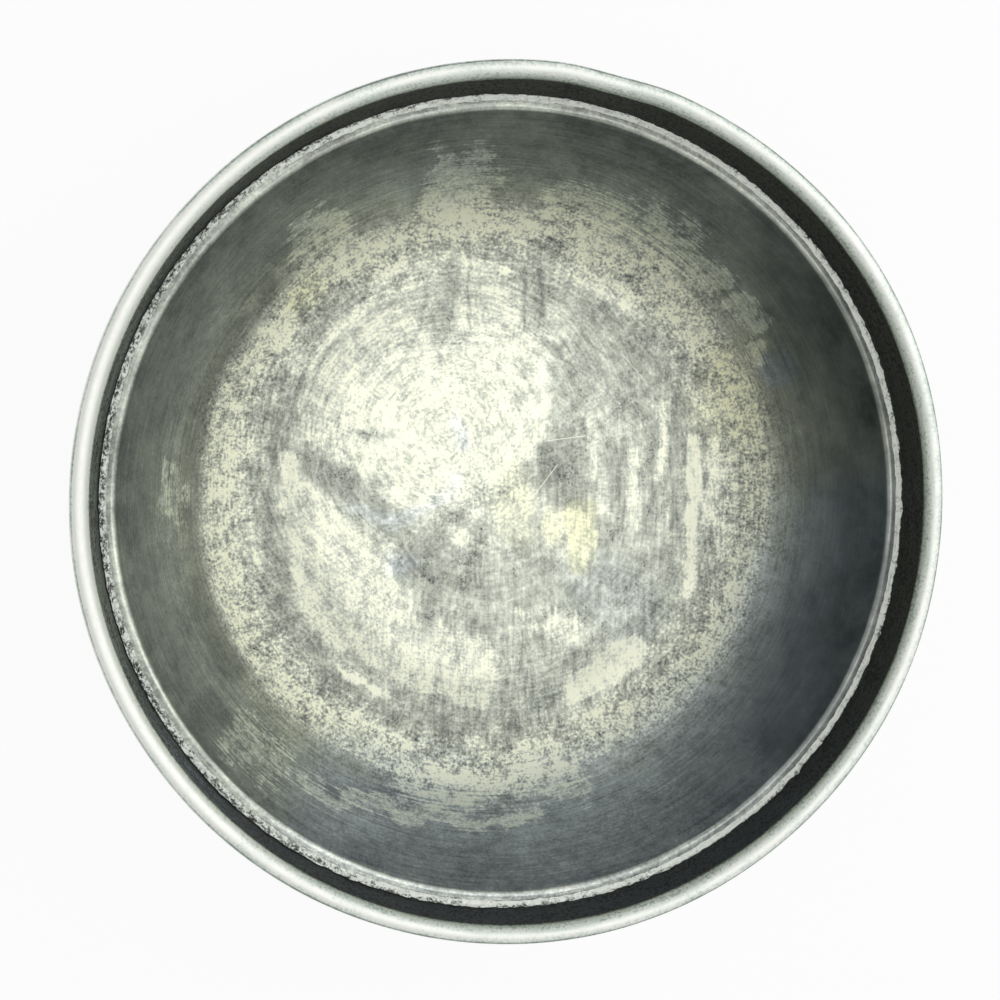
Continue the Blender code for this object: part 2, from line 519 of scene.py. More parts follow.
def turn_section(name: str, outline: Sequence[Vector], steps: int, closed: bool,
                 start: float = 0.0, turn: float = 2 * math.pi) -> bpy.types.Object:
    """Draws a section point by point and turns it about the bowl's axis.

    Args:
        name: The new object's name.
        outline: The section, with its outer side running downwards.
        steps: How many steps the turn has.
        closed: Whether the section's last point joins its first.
        start: Azimuth that the turn starts at, in radians.
        turn: How far it goes round, in radians. The ends of a part turn are filled.

    Returns:
        The turned object.
    """
    bpy.ops.object.select_all(action="DESELECT")
    bpy.ops.mesh.primitive_plane_add(size=SIZES.sheet)
    piece = bpy.context.object
    piece.name = name
    piece.data.name = name
    bpy.ops.object.mode_set(mode="EDIT")
    bpy.ops.mesh.merge(type="CENTER")
    outwards = Vector((math.cos(start), math.sin(start), 0))
    drawn = [*outline, outline[0]] if closed else outline
    route = [outwards * point.x + Vector((0, 0, point.y)) for point in drawn]
    bpy.ops.transform.translate(value=route[0])
    for before, after in zip(route, route[1:]):
        bpy.ops.mesh.extrude_region_move(TRANSFORM_OT_translate={"value": after - before})
    bpy.ops.mesh.select_all(action="SELECT")
    bpy.ops.mesh.remove_doubles(threshold=MERGE_DISTANCE)
    bpy.ops.object.mode_set(mode="OBJECT")
    apply_modifier(piece, "SCREW", axis="Z", angle=turn, steps=steps, render_steps=steps,
                   use_merge_vertices=True, merge_threshold=MERGE_DISTANCE)
    bpy.ops.object.mode_set(mode="EDIT")
    bpy.ops.mesh.select_all(action="SELECT")
    bpy.ops.mesh.remove_doubles(threshold=MERGE_DISTANCE)
    if turn < 2 * math.pi:
        bpy.ops.mesh.fill_holes(sides=0)
    bpy.ops.mesh.normals_make_consistent(inside=False)
    bpy.ops.object.mode_set(mode="OBJECT")
    bpy.ops.object.shade_smooth_by_angle(angle=SMOOTH_ANGLE)
    return piece


def apply_modifier(piece: bpy.types.Object, kind: str, **settings: Any) -> None:
    """Adds a modifier to a piece and applies it.

    Args:
        piece: The piece to change.
        kind: The modifier's type.
        settings: The modifier's properties.
    """
    modifier = piece.modifiers.new(kind.lower(), kind)
    for name, value in settings.items():
        setattr(modifier, name, value)
    bpy.ops.object.select_all(action="DESELECT")
    piece.select_set(True)
    bpy.context.view_layer.objects.active = piece
    bpy.ops.object.modifier_apply(modifier=modifier.name)


def texture(name: str, kind: str, **settings: Any) -> bpy.types.Texture:
    """Makes a procedural texture for displacing a mesh.

    Args:
        name: The texture's name.
        kind: CLOUDS or VORONOI.
        settings: The texture's properties.

    Returns:
        The texture.
    """
    made = bpy.data.textures.new(name, kind)
    for setting, value in settings.items():
        setattr(made, setting, value)
    return made


def emboss(piece: bpy.types.Object, pattern: bpy.types.Texture | None, depth: float,
           **settings: Any) -> None:
    """Pushes a piece's surface in and out by a pattern in the bowl's own coordinates.

    Args:
        piece: The piece to change.
        pattern: The texture, or None for an even push.
        depth: From the pattern's darkest to its lightest.
        settings: More properties, such as direction or vertex_group.
    """
    apply_modifier(piece, "DISPLACE", texture=pattern, texture_coords="LOCAL", strength=depth, **settings)


def weigh(piece: bpy.types.Object, name: str, share: Callable[[Vector, Vector], float]) -> str:
    """Makes a vertex group by place and facing.

    Args:
        piece: The piece to mark.
        name: The group's name.
        share: Gives a weight from 0 to 1 for a vertex's place and its normal.

    Returns:
        The group's name.
    """
    group = piece.vertex_groups.new(name=name)
    for vertex in piece.data.vertices:
        weight = share(vertex.co, vertex.normal)
        if weight > 0:
            group.add([vertex.index], min(1.0, weight), "REPLACE")
    return name


def places(piece: bpy.types.Object) -> np.ndarray:
    """Places of a piece's vertices, one row each."""
    flat = np.empty(len(piece.data.vertices) * 3, dtype=np.float32)
    piece.data.vertices.foreach_get("co", flat)
    return flat.reshape(-1, 3)


def faces_up(place: Vector, normal: Vector) -> float:
    """Weight of the tinned face, which faces upwards all over."""
    return 1.0 if normal.z > LEAST_TILT else 0.0


@dataclass(frozen=True)
class HandWork:
    """The unevenness that every piece of one hand-made bowl shares."""

    sway: float = 0.0013
    sway_size: float = 0.11
    lift: float = 0.0012
    lift_size: float = 0.14
    knock: float = 0.0008
    knock_azimuth: float = math.radians(78)
    knock_spread: float = math.radians(8)

    def knocked(self, place: Vector, normal: Vector) -> float:
        """Weight of the rim's one flat spot."""
        off = math.atan2(place.y, place.x) - self.knock_azimuth
        up = (place.z - SIZES.ledge_z) / SIZES.ledge_depth
        return eased(1 - abs(off) / self.knock_spread) * eased(up)

    def bend(self, piece: bpy.types.Object) -> None:
        """Pushes a piece out of round, and its upper part up and down.

        Its true shape from before is kept as an attribute, so that finishes can follow its edges.

        Args:
            piece: The piece to bend.
        """
        turned = piece.data.attributes.new(TRUE_PLACE, "FLOAT_VECTOR", "POINT")
        turned.data.foreach_set("vector", places(piece).ravel())
        out_of_round = texture("out_of_round", "CLOUDS", noise_scale=self.sway_size, noise_depth=0)
        uneven_rim = texture("uneven_rim", "CLOUDS", noise_scale=self.lift_size, noise_depth=0)
        for direction in ("X", "Y"):
            emboss(piece, out_of_round, self.sway, direction=direction)
        upper = weigh(piece, "upper", lambda place, normal: (place.z / SIZES.height) ** 2)
        emboss(piece, uneven_rim, self.lift, direction="Z", vertex_group=upper)
        flat_spot = weigh(piece, "flat_spot", self.knocked)
        inwards = -self.knock * math.sin(self.knock_azimuth)
        emboss(piece, None, inwards, mid_level=0.0, direction="Y", vertex_group=flat_spot)


def stand_for(piece: bpy.types.Object, node: CadNode, slot: Slot, finish: bpy.types.Material) -> None:
    """Dresses a finished piece and says what it stands for.

    Args:
        piece: The finished piece.
        node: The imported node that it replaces.
        slot: The record's slot for the piece. It is not used.
        finish: Its material.
    """
    piece.vertex_groups.clear()
    piece.data.materials.clear()
    piece.data.materials.append(finish)
    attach(piece, BODY)
    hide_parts(node.value)
    log.info("%s stands for %s with %d faces", piece.name, node.value, len(piece.data.polygons))


# Marks on the tin


@dataclass(frozen=True)
class Mark:
    """A worn place, a stain, or a painted highlight or shade on the tinned face, seen from above, in
    millimetres.

    Attributes:
        wear: What it is.
        strength: How strong it is, up to 1.
        edge: How wide its soft edge is.
        width: How wide its line is, or 0 where its route is an outline that is filled.
        route: The points of its line or outline.
    """

    wear: Wear
    strength: float
    edge: float
    width: float
    route: tuple[tuple[float, float], ...]

    def weight(self, plan: np.ndarray) -> np.ndarray:
        """How strongly the mark covers each point.

        Args:
            plan: Points seen from above, in millimetres.

        Returns:
            A share from 0 to the mark's strength for each point.
        """
        filled = self.width == 0
        ends = np.array(self.route + self.route[:1] if filled else self.route, dtype=float)
        nearest = np.full(len(plan), np.inf)
        inside = np.zeros(len(plan), dtype=bool)
        for start, end in zip(ends, ends[1:]):
            run = end - start
            along = np.clip((plan - start) @ run / (run @ run), 0, 1)
            nearest = np.minimum(nearest, np.linalg.norm(plan - start - along[:, None] * run, axis=1))
            if filled and run[1]:
                level = (start[1] > plan[:, 1]) != (end[1] > plan[:, 1])
                inside ^= level & (plan[:, 0] < start[0] + run[0] * (plan[:, 1] - start[1]) / run[1])
        depth = np.where(inside, nearest, -nearest) if filled else self.width / 2 - nearest
        share = np.clip(depth / self.edge + 0.5, 0, 1)
        return self.strength * share * share * (3 - 2 * share)


# How far a mark's outline wanders, as (size of the waves, distance) in millimetres
WANDER = ((14.0, 2.4), (5.0, 1.1), (2.2, 0.6))

# Keeps the wandering the same in each run, where it would else start from the clock
WANDER_SEED = 7


def wandered(place: Vector) -> Vector:
    """Moves a place about a little, in millimetres, so that a mark's outline comes out uneven."""
    return place + sum((noise.noise_vector(place / size) * far for size, far in WANDER), Vector())


def paint(piece: bpy.types.Object, marks: Sequence[Mark]) -> None:
    """Writes marks to attributes, one for each kind of wear.

    Args:
        piece: The piece to paint.
        marks: The marks.
    """
    noise.seed_set(WANDER_SEED)
    plan = np.array([wandered(vertex.co / MM)[:2] for vertex in piece.data.vertices])
    for wear in Wear:
        strongest = np.zeros(len(plan))
        for mark in marks:
            if mark.wear is wear:
                strongest = np.maximum(strongest, mark.weight(plan))
        layer = piece.data.attributes.new(wear.value, "FLOAT", "POINT")
        layer.data.foreach_set("value", strongest)


# Where the floor and wall are worn, and where highlight and shade are painted on them, seen from above
BRIGHT = Wear.BURNISHED_AND_LIT
DARK = Wear.STAINED_AND_SHADED
STRAW = Wear.STRAW
BLUE = Wear.BLUED
FLAKES = Wear.FLAKED
PAN_MARKS = (
    # Middle of the floor, scoured bright, and lightest behind and left of the centre, where a painted
    # highlight of the overhead light lies
    Mark(BRIGHT, 0.62, 4, 0, ((-32, 45), (-27, 54), (-6, 57), (15, 44), (23, 40), (22, 27), (13, 13),
                              (-4, 12), (-13, -1), (-36, -3), (-42, 8), (-58, 17), (-50, 33))),
    Mark(BRIGHT, 0.52, 6, 0, ((-72, 26), (-66, 44), (-54, 66), (-32, 69), (-14, 62), (3, 68), (18, 62),
                              (23, 40), (22, 27), (7, 8), (-13, -4), (-36, -4), (-58, 15))),
    Mark(BRIGHT, 0.42, 9, 0, ((-70, 36), (-63, 56), (-41, 80), (-15, 90), (3, 86), (14, 70), (18, 60),
                              (-20, 55), (-50, 50))),
    # Left of the floor up to the edge of its raised part, worn bright, with a painted highlight along
    # that edge
    Mark(BRIGHT, 0.62, 3, 0, ((-77, 14), (-73, -23), (-67, -41), (-51, -58), (-34, -70), (-12, -78),
                              (0, -79), (3, -60), (-4, -50), (-23, -49), (-34, -40), (-38, -21),
                              (-52, -10), (-62, 2))),
    # Painted highlight: a bright crescent along the left edge of the floor's raised part
    Mark(BRIGHT, 0.85, 2, 6, ((-75, 15), (-75, -6), (-72, -28), (-66, -42), (-56, -53))),
    Mark(BRIGHT, 0.90, 2, 3.5, ((-56, -64), (-41, -73))),
    Mark(BRIGHT, 0.50, 4, 7, ((-44, -22), (-38, -20))),
    Mark(BRIGHT, 0.50, 5, 8, ((-40, -44), (-36, -45))),
    # Rubbed arcs behind the middle, and the dull line between them
    Mark(BRIGHT, 0.75, 2, 3, ((-71, 30), (-66, 48), (-56, 62), (-44, 70))),
    Mark(BRIGHT, 0.75, 2, 4, ((-34, 84), (-14, 89), (6, 84))),
    Mark(BRIGHT, 0.45, 5, 8, ((-22, 97), (0, 101), (20, 97))),
    Mark(DARK, 0.30, 2, 2, ((-69, 34), (-63, 50), (-50, 64), (-34, 74), (-14, 80))),
    # Upright streaks on the right, where a tool was scraped up and down
    Mark(BRIGHT, 1.00, 1.6, 5.5, ((78, 21), (79, 2), (78, -14), (76, -37))),
    Mark(BRIGHT, 0.80, 3, 5.5, ((86, 22), (87, 8), (85, -10))),
    Mark(BRIGHT, 0.35, 5, 7, ((93, 22), (93, -14))),
    Mark(BRIGHT, 0.60, 3, 3.5, ((66, 34), (66, 8))),
    Mark(BRIGHT, 0.65, 3, 5.5, ((55, 17), (55, -11))),
    Mark(BRIGHT, 0.65, 3, 4.5, ((37, 31), (39, 12), (42, -5))),
    Mark(BRIGHT, 0.50, 3, 3, ((76, 46), (83, 32))),
    Mark(DARK, 0.18, 3, 5, ((61, 24), (61, -20))),
    Mark(DARK, 0.18, 3, 4, ((70, 26), (71, -12))),
    # Smears of fresh metal
    Mark(BRIGHT, 1.00, 2, 12, ((34, -73), (54, -59))),
    Mark(BRIGHT, 0.65, 5, 9, ((34, 85), (53, 71))),
    Mark(BRIGHT, 0.70, 3, 0, ((-20, -43), (-29, -66), (-14, -71), (-8, -60), (-13, -52))),
    Mark(BRIGHT, 0.60, 4, 8, ((-14, -73), (-8, -74))),
    Mark(BRIGHT, 0.40, 6, 10, ((14, -46), (30, -50))),
    # Bright spots near the middle, and straw-coloured ones there and on the ring of deposit
    Mark(BRIGHT, 0.62, 3, 0, ((29, -4), (37, -5), (40, -15), (35, -26), (28, -20))),
    Mark(BRIGHT, 0.60, 3, 6, ((24, -8), (23, -15))),
    Mark(BRIGHT, 0.35, 4, 9, ((9, -3), (9, -12))),
    Mark(BRIGHT, 0.35, 6, 22, ((-4, 4), (4, -2))),
    Mark(BRIGHT, 0.60, 3, 6, ((-16, -13), (-12, -15))),
    Mark(STRAW, 0.75, 4, 11, ((34, -6), (34, -24))),
    Mark(STRAW, 0.50, 4, 7, ((24, -8), (23, -15))),
    Mark(STRAW, 0.35, 8, 14, ((8, 6), (10, -12))),
    Mark(STRAW, 0.35, 14, 26, ((90, 30), (92, 46))),
    Mark(STRAW, 0.50, 8, 9, ((-66, 76), (-71, 70))),
    # Stains and scorched places
    Mark(DARK, 0.26, 2.5, 0, ((-74, 19), (-58, 14), (-46, 6), (-41, -6), (-48, -4), (-60, 2), (-71, 8))),
    Mark(DARK, 0.30, 4, 9, ((-47, 4), (-42, -5))),
    Mark(DARK, 0.32, 3, 0, ((17, 20), (30, 24), (34, 11), (33, -2), (26, -5), (18, 3))),
    Mark(DARK, 0.19, 6, 18, ((-25, -26), (-6, -28), (18, -31))),
    Mark(DARK, 0.20, 8, 18, ((3, -8), (15, -15))),
    Mark(DARK, 0.22, 5, 7, ((-5, -47), (8, -46))),
    Mark(DARK, 0.18, 6, 9, ((24, -31), (40, -43))),
    Mark(DARK, 0.27, 5, 8, ((-28, -27), (-20, -38), (-26, -53))),
    Mark(DARK, 0.50, 3, 5, ((-25, -27), (-22, -30))),
    Mark(DARK, 0.28, 3, 9, ((-17, 76), (-19, 62))),
    Mark(DARK, 0.38, 3, 7, ((-15, 86), (-12, 78))),
    Mark(DARK, 0.50, 2.5, 3, ((-48, 23), (-36, 23))),
    Mark(DARK, 0.10, 14, 24, ((40, 60), (54, 50))),
    Mark(DARK, 0.08, 10, 18, ((26, 48), (30, 40))),
    Mark(DARK, 0.18, 16, 26, ((44, 6), (48, -24))),
    Mark(DARK, 0.20, 10, 14, ((-64, 70), (-60, 74))),
    # Drips and scores, as thin dark lines
    Mark(DARK, 0.55, 1.2, 1.2, ((-23, 76), (-28, 62), (-35, 47))),
    Mark(DARK, 0.55, 1.2, 1.2, ((-8, 88), (-8, 62))),
    Mark(DARK, 0.55, 1.2, 1.2, ((-14, 77), (-19, 48))),
    Mark(DARK, 0.45, 1.2, 1.2, ((12, 88), (14, 60))),
    Mark(DARK, 0.35, 1.2, 1.2, ((18, 86), (19, 68))),
    Mark(DARK, 0.35, 1.2, 1.4, ((86, -69), (94, -73))),
    # Dull bands between the floor and the ring of deposit, a painted shade line at the foot of the
    # floor's raised part on the left, and one band outside it on the left
    Mark(DARK, 0.20, 5, 7, ((-83, -8), (-77, -42), (-62, -65), (-42, -80), (-14, -87), (12, -89))),
    Mark(DARK, 0.08, 5, 7, ((44, -80), (68, -62), (84, -40))),
    # Painted shade: a dark line at the outer foot of the floor's raised part on the left
    Mark(DARK, 0.30, 2.5, 3, ((-79, 32), (-82, 8), (-83, -16))),
    Mark(DARK, 0.34, 5, 7, ((-80, 75), (-96, 52), (-107, 22), (-109, -8), (-105, -36), (-94, -60))),
    # Painted shade on the right-hand wall, which is darker there because of how the light falls
    Mark(DARK, 0.42, 36, 32, ((108, -82), (132, -20), (129, 30), (106, 86))),
    # Cool sheen
    Mark(BLUE, 0.28, 4, 5, ((-51, -4), (-37, -11), (-16, 2), (-12, 8))),
    Mark(BLUE, 0.35, 5, 8, ((-36, -25), (-31, -25))),
    Mark(BLUE, 0.15, 14, 24, ((38, -30), (54, -44))),
    Mark(BLUE, 1.00, 4, 6, ((105, 45), (103, 50))),
    Mark(BLUE, 0.20, 8, 12, ((-30, 112), (-10, 115))),
    Mark(BLUE, 0.40, 4, 4, ((-13, 28), (-12, 20))),
    Mark(BLUE, 0.90, 30, 36, ((-60, -112), (0, -126), (60, -112), (104, -74), (130, -10))),
    # Painted light on the front of the wall, which is lighter there because of how the light falls
    Mark(BRIGHT, 0.30, 20, 24, ((-75, -104), (-30, -125), (30, -125), (57, -114))),
    # Flakes of deposit on the wall, and their tide line in front
    Mark(FLAKES, 0.58, 9, 0, ((-28, 104), (-26, 120), (-6, 122), (3, 114), (-8, 103))),
    Mark(FLAKES, 0.55, 9, 12, ((-70, 90), (-58, 98))),
    Mark(FLAKES, 0.54, 8, 12, ((22, 109), (47, 103), (70, 90))),
    Mark(FLAKES, 0.58, 6, 8, ((40, 106), (62, 95), (82, 78))),
    Mark(FLAKES, 0.66, 4, 6, ((88, 72), (96, 63))),
    Mark(FLAKES, 0.66, 4, 5, ((97, 56), (99, 52))),
    Mark(FLAKES, 0.54, 5, 5, ((-115, 13), (-117, -3))),
    Mark(FLAKES, 0.46, 5, 5, ((-111, 4), (-113, -10))),
    Mark(FLAKES, 0.42, 8, 12, ((-34, -105), (0, -110), (30, -106))),
    Mark(FLAKES, 0.48, 8, 14, ((-92, -78), (-80, -90))),
    Mark(FLAKES, 0.66, 3, 3.5, ((-72, -95), (-60, -103), (-43, -108), (-29, -112), (-10, -116),
                                (16, -114))),
)


@dataclass(frozen=True)
class Hairline:
    """A fine scratch across the floor, seen from above, in millimetres."""

    start: tuple[float, float]
    end: tuple[float, float]


HAIRLINES = (
    Hairline((21, 21), (36, 23)),
    Hairline((15, -1), (25, 12)),
    Hairline((50, 54), (59, 44)),
)


# Finishes


@dataclass(frozen=True)
class Zone:
    """A place along the tinned face, and the state of the tin there.

    Attributes:
        run_mm: Radius plus height.
        level: How bright the tin is, from black, tarnished tin at 0 to fresh metal at 1. On the wall a
            low level also stands for painted shade.
        mottle: How strongly it is mottled.
        crust: How much dry, matt deposit covers it.
    """

    run_mm: float
    level: float
    mottle: float
    crust: float


@dataclass(frozen=True)
class WipedTin:
    """Tin wiped on hot with a cloth, then scoured by stirring.

    Gives the eye a pale, scratched floor with grey bruises and a painted highlight behind and left of its
    middle, a matt speckled ring of straw-coloured deposit at the knuckle, and a slate-grey wall, partly
    tarnished and partly darkened by painted shade, with faint streaks that run round it.
    """

    # The grain and the scratches are finer on real tin, and are drawn as coarse as they need to show
    name: str = "wiped_tin"
    cloud_mm: float = 40.0
    blotch_mm: float = 13.0
    patch_mm: float = 4.5
    grain_mm: float = 1.1
    scour_mm: float = 1.5
    scour_turns: float = 3.0
    swirl_centre_mm: tuple[float, float] = (-16.0, 22.0)
    swirl_side: tuple[float, float, float] = (-0.6, 0.8, 0.0)
    swirl_edge_mm: tuple[float, float] = (-20.0, 30.0)
    scrape_mm: tuple[float, float] = (1.6, 14.0)
    pit_mm: float = 0.9
    pit_drop: float = 0.24
    groove_mm: float = 1.9
    groove_reach_mm: float = 17.0
    groove_drop: float = 0.10
    groove_patches: tuple[float, float] = (0.38, 0.62)
    longest_run_mm: float = 200.0
    # The levels fall up the wall partly as tarnish and partly as painted shade of the steep wall, and a
    # little towards the floor's edge as a painted fall-off of the overhead highlight
    zones: tuple[Zone, ...] = (
        Zone(0, 0.80, 0.52, 0.04),
        Zone(60, 0.77, 0.52, 0.04),
        Zone(80, 0.75, 0.52, 0.10),
        Zone(90, 0.71, 0.52, 0.30),
        Zone(97, 0.75, 0.52, 0.55),
        Zone(103, 0.87, 0.50, 0.75),
        Zone(112, 0.89, 0.50, 0.75),
        Zone(118, 0.76, 0.40, 0.50),
        Zone(122, 0.72, 0.30, 0.24),
        Zone(135, 0.67, 0.24, 0.14),
        Zone(152, 0.61, 0.18, 0.10),
        Zone(170, 0.54, 0.15, 0.06),
        Zone(188, 0.49, 0.14, 0.05),
        Zone(192.0, 0.49, 0.14, 0.05),
        Zone(193.0, 0.76, 0.30, 0.05),
        Zone(194.4, 0.80, 0.30, 0.05),
        Zone(195.4, 0.68, 0.30, 0.10),
        Zone(197, 0.74, 0.60, 0.20),
    )
    steady_mm: tuple[float, float] = (170.0, 186.0)
    knuckle_mm: tuple[float, float] = (112.0, 128.0)
    cool_mm: tuple[float, float] = (122.0, 142.0)
    ledge_mm: tuple[float, float] = (192.0, 192.8)
    ledge_cool: float = 0.35
    most_lift: float = 0.26
    most_drop: float = 0.36
    flake_lift: float = 0.19
    flake_edge: tuple[float, float] = (0.34, 0.68)
    flakes_in_crust: float = 0.50
    flake_cool: float = 0.55
    dry_flakes: float = 0.20
    pit_edge: tuple[float, float] = (0.12, 0.24)
    pits_in_dark_marks: float = 0.22
    pits_in_bright: float = -0.08
    # Tones of the tin by level; the dark end also serves the wall's painted shade
    tin_tones: tuple[tuple[float, str], ...] = (
        (0.00, "#181818"),
        (0.25, "#3E4140"),
        (0.45, "#70746F"),
        (0.62, "#9B9E94"),
        (0.80, "#C8CCBF"),
        (0.90, "#DEE1D1"),
        (1.00, "#F5F6E0"),
    )
    straw: tuple[float, float, float] = (1.0, 0.98, 0.79)
    blued: tuple[float, float, float] = (0.90, 0.97, 1.26)
    crust_straw: float = 0.18
    wall_blue: float = 0.34
    hairline_mm: float = 0.25
    hairline_level: float = 0.95
    clean_to_dry_rough: tuple[float, float] = (0.46, 0.70)
    clean_to_dry_metal: tuple[float, float] = (0.95, 0.45)
    rough_in_mottle: float = -0.12
    flake_relief: float = 0.4
    relief: float = 0.35
    relief_mm: float = 0.25

    def fields(self, bench: Bench) -> dict[str, Any]:
        """Lays out the patterns that colour, gloss and relief are mixed from.

        Args:
            bench: The material's bench.

        Returns:
            The patterns' nodes by name.
        """
        add = bench.add
        spot = add("Attribute", attribute_name=TRUE_PLACE).outputs["Vector"]
        flat, radius = bench.from_above(spot)
        height = add("SeparateXYZ", {0: spot}).outputs["Z"]
        run = add("Math", {0: radius, 1: height}, operation="ADD")
        wall = bench.step(run, *metres(self.knuckle_mm))
        sizes = {"cloud": self.cloud_mm, "blotch": self.blotch_mm, "patch": self.patch_mm,
                 "grain": self.grain_mm, "pit": self.pit_mm}
        found = {"flat": flat, "run": run, "radius": radius, "wall": wall, **bench.noises(spot, sizes)}

        # Scratches that run in rings, about the bowl's axis and about the middle of the bright patch
        centre = Vector((*self.swirl_centre_mm, 0)) * MM
        off_centre = add("VectorMath", {0: flat, 1: centre}, operation="SUBTRACT")
        swirl_radius = add("VectorMath", {0: off_centre}, operation="LENGTH")
        found["scour"] = bench.ring_noise(flat, run, self.scour_mm, self.scour_turns)
        found["swirl"] = bench.ring_noise(off_centre, swirl_radius, self.scour_mm, self.scour_turns)

        # Scratches that run straight, from back to front
        wide, long = self.scrape_mm
        drawn = add("VectorMath", {0: spot, 1: (1, wide / long, 1)}, operation="MULTIPLY")
        found |= bench.noises(drawn, {"scrape": wide}, Bench.STREAK_LAYERS)

        # The straight ones give way to the off-centre rings behind and left of the middle, and to the
        # bowl's own rings on the wall
        side = add("VectorMath", {0: flat, 1: self.swirl_side}, operation="DOT_PRODUCT")
        swirled = bench.step(side, *metres(self.swirl_edge_mm))
        comb = add("Mix", {"Factor": swirled, 2: found["scrape"], 3: found["swirl"]})
        found["comb"] = add("Mix", {"Factor": wall, 2: comb, 3: found["scour"]})
        return found

    def covers(self, bench: Bench, fields: dict[str, Any]) -> dict[Wear, Any]:
        """Breaks up the edges of the painted marks. Flakes stay whole, and are chipped later.

        Args:
            bench: The material's bench.
            fields: The patterns.

        Returns:
            How much each kind of wear covers.
        """
        add = bench.add
        ragged = bench.blend(fields, {"patch": 2.5, "grain": 3.5, "comb": 2.0})
        found = {}
        for wear in Wear:
            share = add("Attribute", attribute_name=wear.value).outputs["Fac"]
            found[wear] = share
            if wear is FLAKES:
                continue
            rest = add("Math", {0: 1.0, 1: share}, operation="SUBTRACT")
            border = bench.times(share, rest)
            found[wear] = bench.plus_share(share, border, ragged, clamp=True)
        return found

    def scratched(self, bench: Bench, flat: Any) -> Any:
        """Finds how near a point is to a fine scratch.

        Args:
            bench: The material's bench.
            flat: The point, seen from above.

        Returns:
            A node that is 1 on a scratch and 0 elsewhere.
        """
        add = bench.add
        nearest: Any = 1.0
        for hairline in HAIRLINES:
            start = Vector((*hairline.start, 0)) * MM
            run = Vector((*hairline.end, 0)) * MM - start
            away = add("VectorMath", {0: flat, 1: start}, operation="SUBTRACT")
            along = add("VectorMath", {0: away, 1: run / run.length_squared}, operation="DOT_PRODUCT")
            along = add("Math", {0: along, 1: 1.0}, operation="MULTIPLY", use_clamp=True)
            foot = add("VectorMath", {0: run, "Scale": along}, operation="SCALE")
            gap = add("VectorMath", {0: away, 1: foot}, operation="DISTANCE")
            nearest = add("Math", {0: gap, 1: nearest}, operation="MINIMUM")
        return bench.step(nearest, self.hairline_mm * MM, 0.0)

    def state(self, bench: Bench, fields: dict[str, Any]) -> tuple[Any, Any, Any]:
        """Reads the zones along the face, with their borders moved about by the broad patterns.

        Args:
            bench: The material's bench.
            fields: The patterns.

        Returns:
            The level, mottle and crust.
        """
        add = bench.add

        # How far the borders move, in metres
        wander = bench.blend(fields, {"cloud": 0.022, "blotch": 0.020, "patch": 0.007})
        steady = bench.step(fields["run"], *metres(self.steady_mm), 1.0, 0.0)
        place = bench.plus_share(fields["run"], wander, steady)
        place = bench.times(place, per(self.longest_run_mm))
        stops = [(z.run_mm / self.longest_run_mm, (z.level, z.mottle, z.crust)) for z in self.zones]
        return tuple(add("SeparateColor", {0: add("ValToRGB", {"Fac": place}, stops=stops)}).outputs)

    def pits(self, bench: Bench, fields: dict[str, Any], covers: dict[Wear, Any]) -> Any:
        """Finds the dark specks, which gather in the dark marks and stop at the knuckle.

        Args:
            bench: The material's bench.
            fields: The patterns.
            covers: How much each kind of wear covers.

        Returns:
            How far the specks lower the level.
        """
        pitted = bench.blend(fields, {"pit": 1.0, "blotch": -0.6})
        for wear, share in ((DARK, self.pits_in_dark_marks), (BRIGHT, self.pits_in_bright)):
            pitted = bench.plus_share(pitted, covers[wear], share)
        depth = bench.add("MapRange", {"Value": fields["wall"], "To Min": -self.pit_drop, "To Max": 0.0})
        return bench.times(bench.step(pitted, *self.pit_edge), depth)

    def grooves(self, bench: Bench, fields: dict[str, Any]) -> Any:
        """Draws the turning marks round the middle, worn away in patches.

        Args:
            bench: The material's bench.
            fields: The patterns.

        Returns:
            How far they change the level.
        """
        turned = bench.times(fields["radius"], 2 * math.pi * per(self.groove_mm))
        wave = bench.add("Math", {0: turned}, operation="COSINE")
        fade = bench.step(fields["radius"], self.groove_reach_mm * MM, 0.0, 0.0, self.groove_drop)
        left = bench.times(fade, bench.step(fields["patch"], *self.groove_patches))
        return bench.times(wave, left)

    def material(self) -> bpy.types.Material:
        """Builds the material on the bowl's true shape and the painted marks."""
        bench = Bench(self.name)
        add = bench.add
        fields = self.fields(bench)
        covers = self.covers(bench, fields)

        # How bright the tin is: its zone, which holds the wall's painted shade, with the mottling, and
        # broad clouds on the wall
        base, mottle, crust = self.state(bench, fields)
        mottled = bench.blend(fields, {"cloud": 0.5, "blotch": 0.8, "patch": 0.9, "grain": 1.1,
                                       "scour": 0.6, "comb": 1.0})
        level = bench.plus_share(base, mottled, mottle)
        clouds = bench.blend(fields, {"cloud": 0.35, "blotch": 0.2})
        level = bench.plus_share(level, clouds, fields["wall"])

        # Dry crust and flakes of it with chipped edges, both speckled
        share = bench.plus_share(covers[FLAKES], crust, self.flakes_in_crust)
        chipped = bench.blend(fields, {"blotch": 0.5, "patch": 0.9, "grain": 0.6, "scour": 1.0})
        flaked = bench.step(add("Math", {0: share, 1: chipped}, operation="ADD"), *self.flake_edge)
        dry = bench.plus_share(crust, flaked, self.dry_flakes, clamp=True)
        speckle = bench.blend(fields, {"grain": 1.3, "pit": 0.9, "patch": 0.8})
        level = bench.plus_share(level, speckle, dry)

        # Marks, with their painted highlight and shade, specks, turning marks and scratches
        for cover, change in ((flaked, self.flake_lift), (covers[BRIGHT], self.most_lift),
                              (covers[DARK], -self.most_drop)):
            level = bench.plus_share(level, cover, change)
        for change in (self.pits(bench, fields, covers), self.grooves(bench, fields)):
            level = add("Math", {0: level, 1: change}, operation="ADD")
        scratched = self.scratched(bench, fields["flat"])
        level = add("Mix", {"Factor": scratched, 2: level, 3: self.hairline_level})

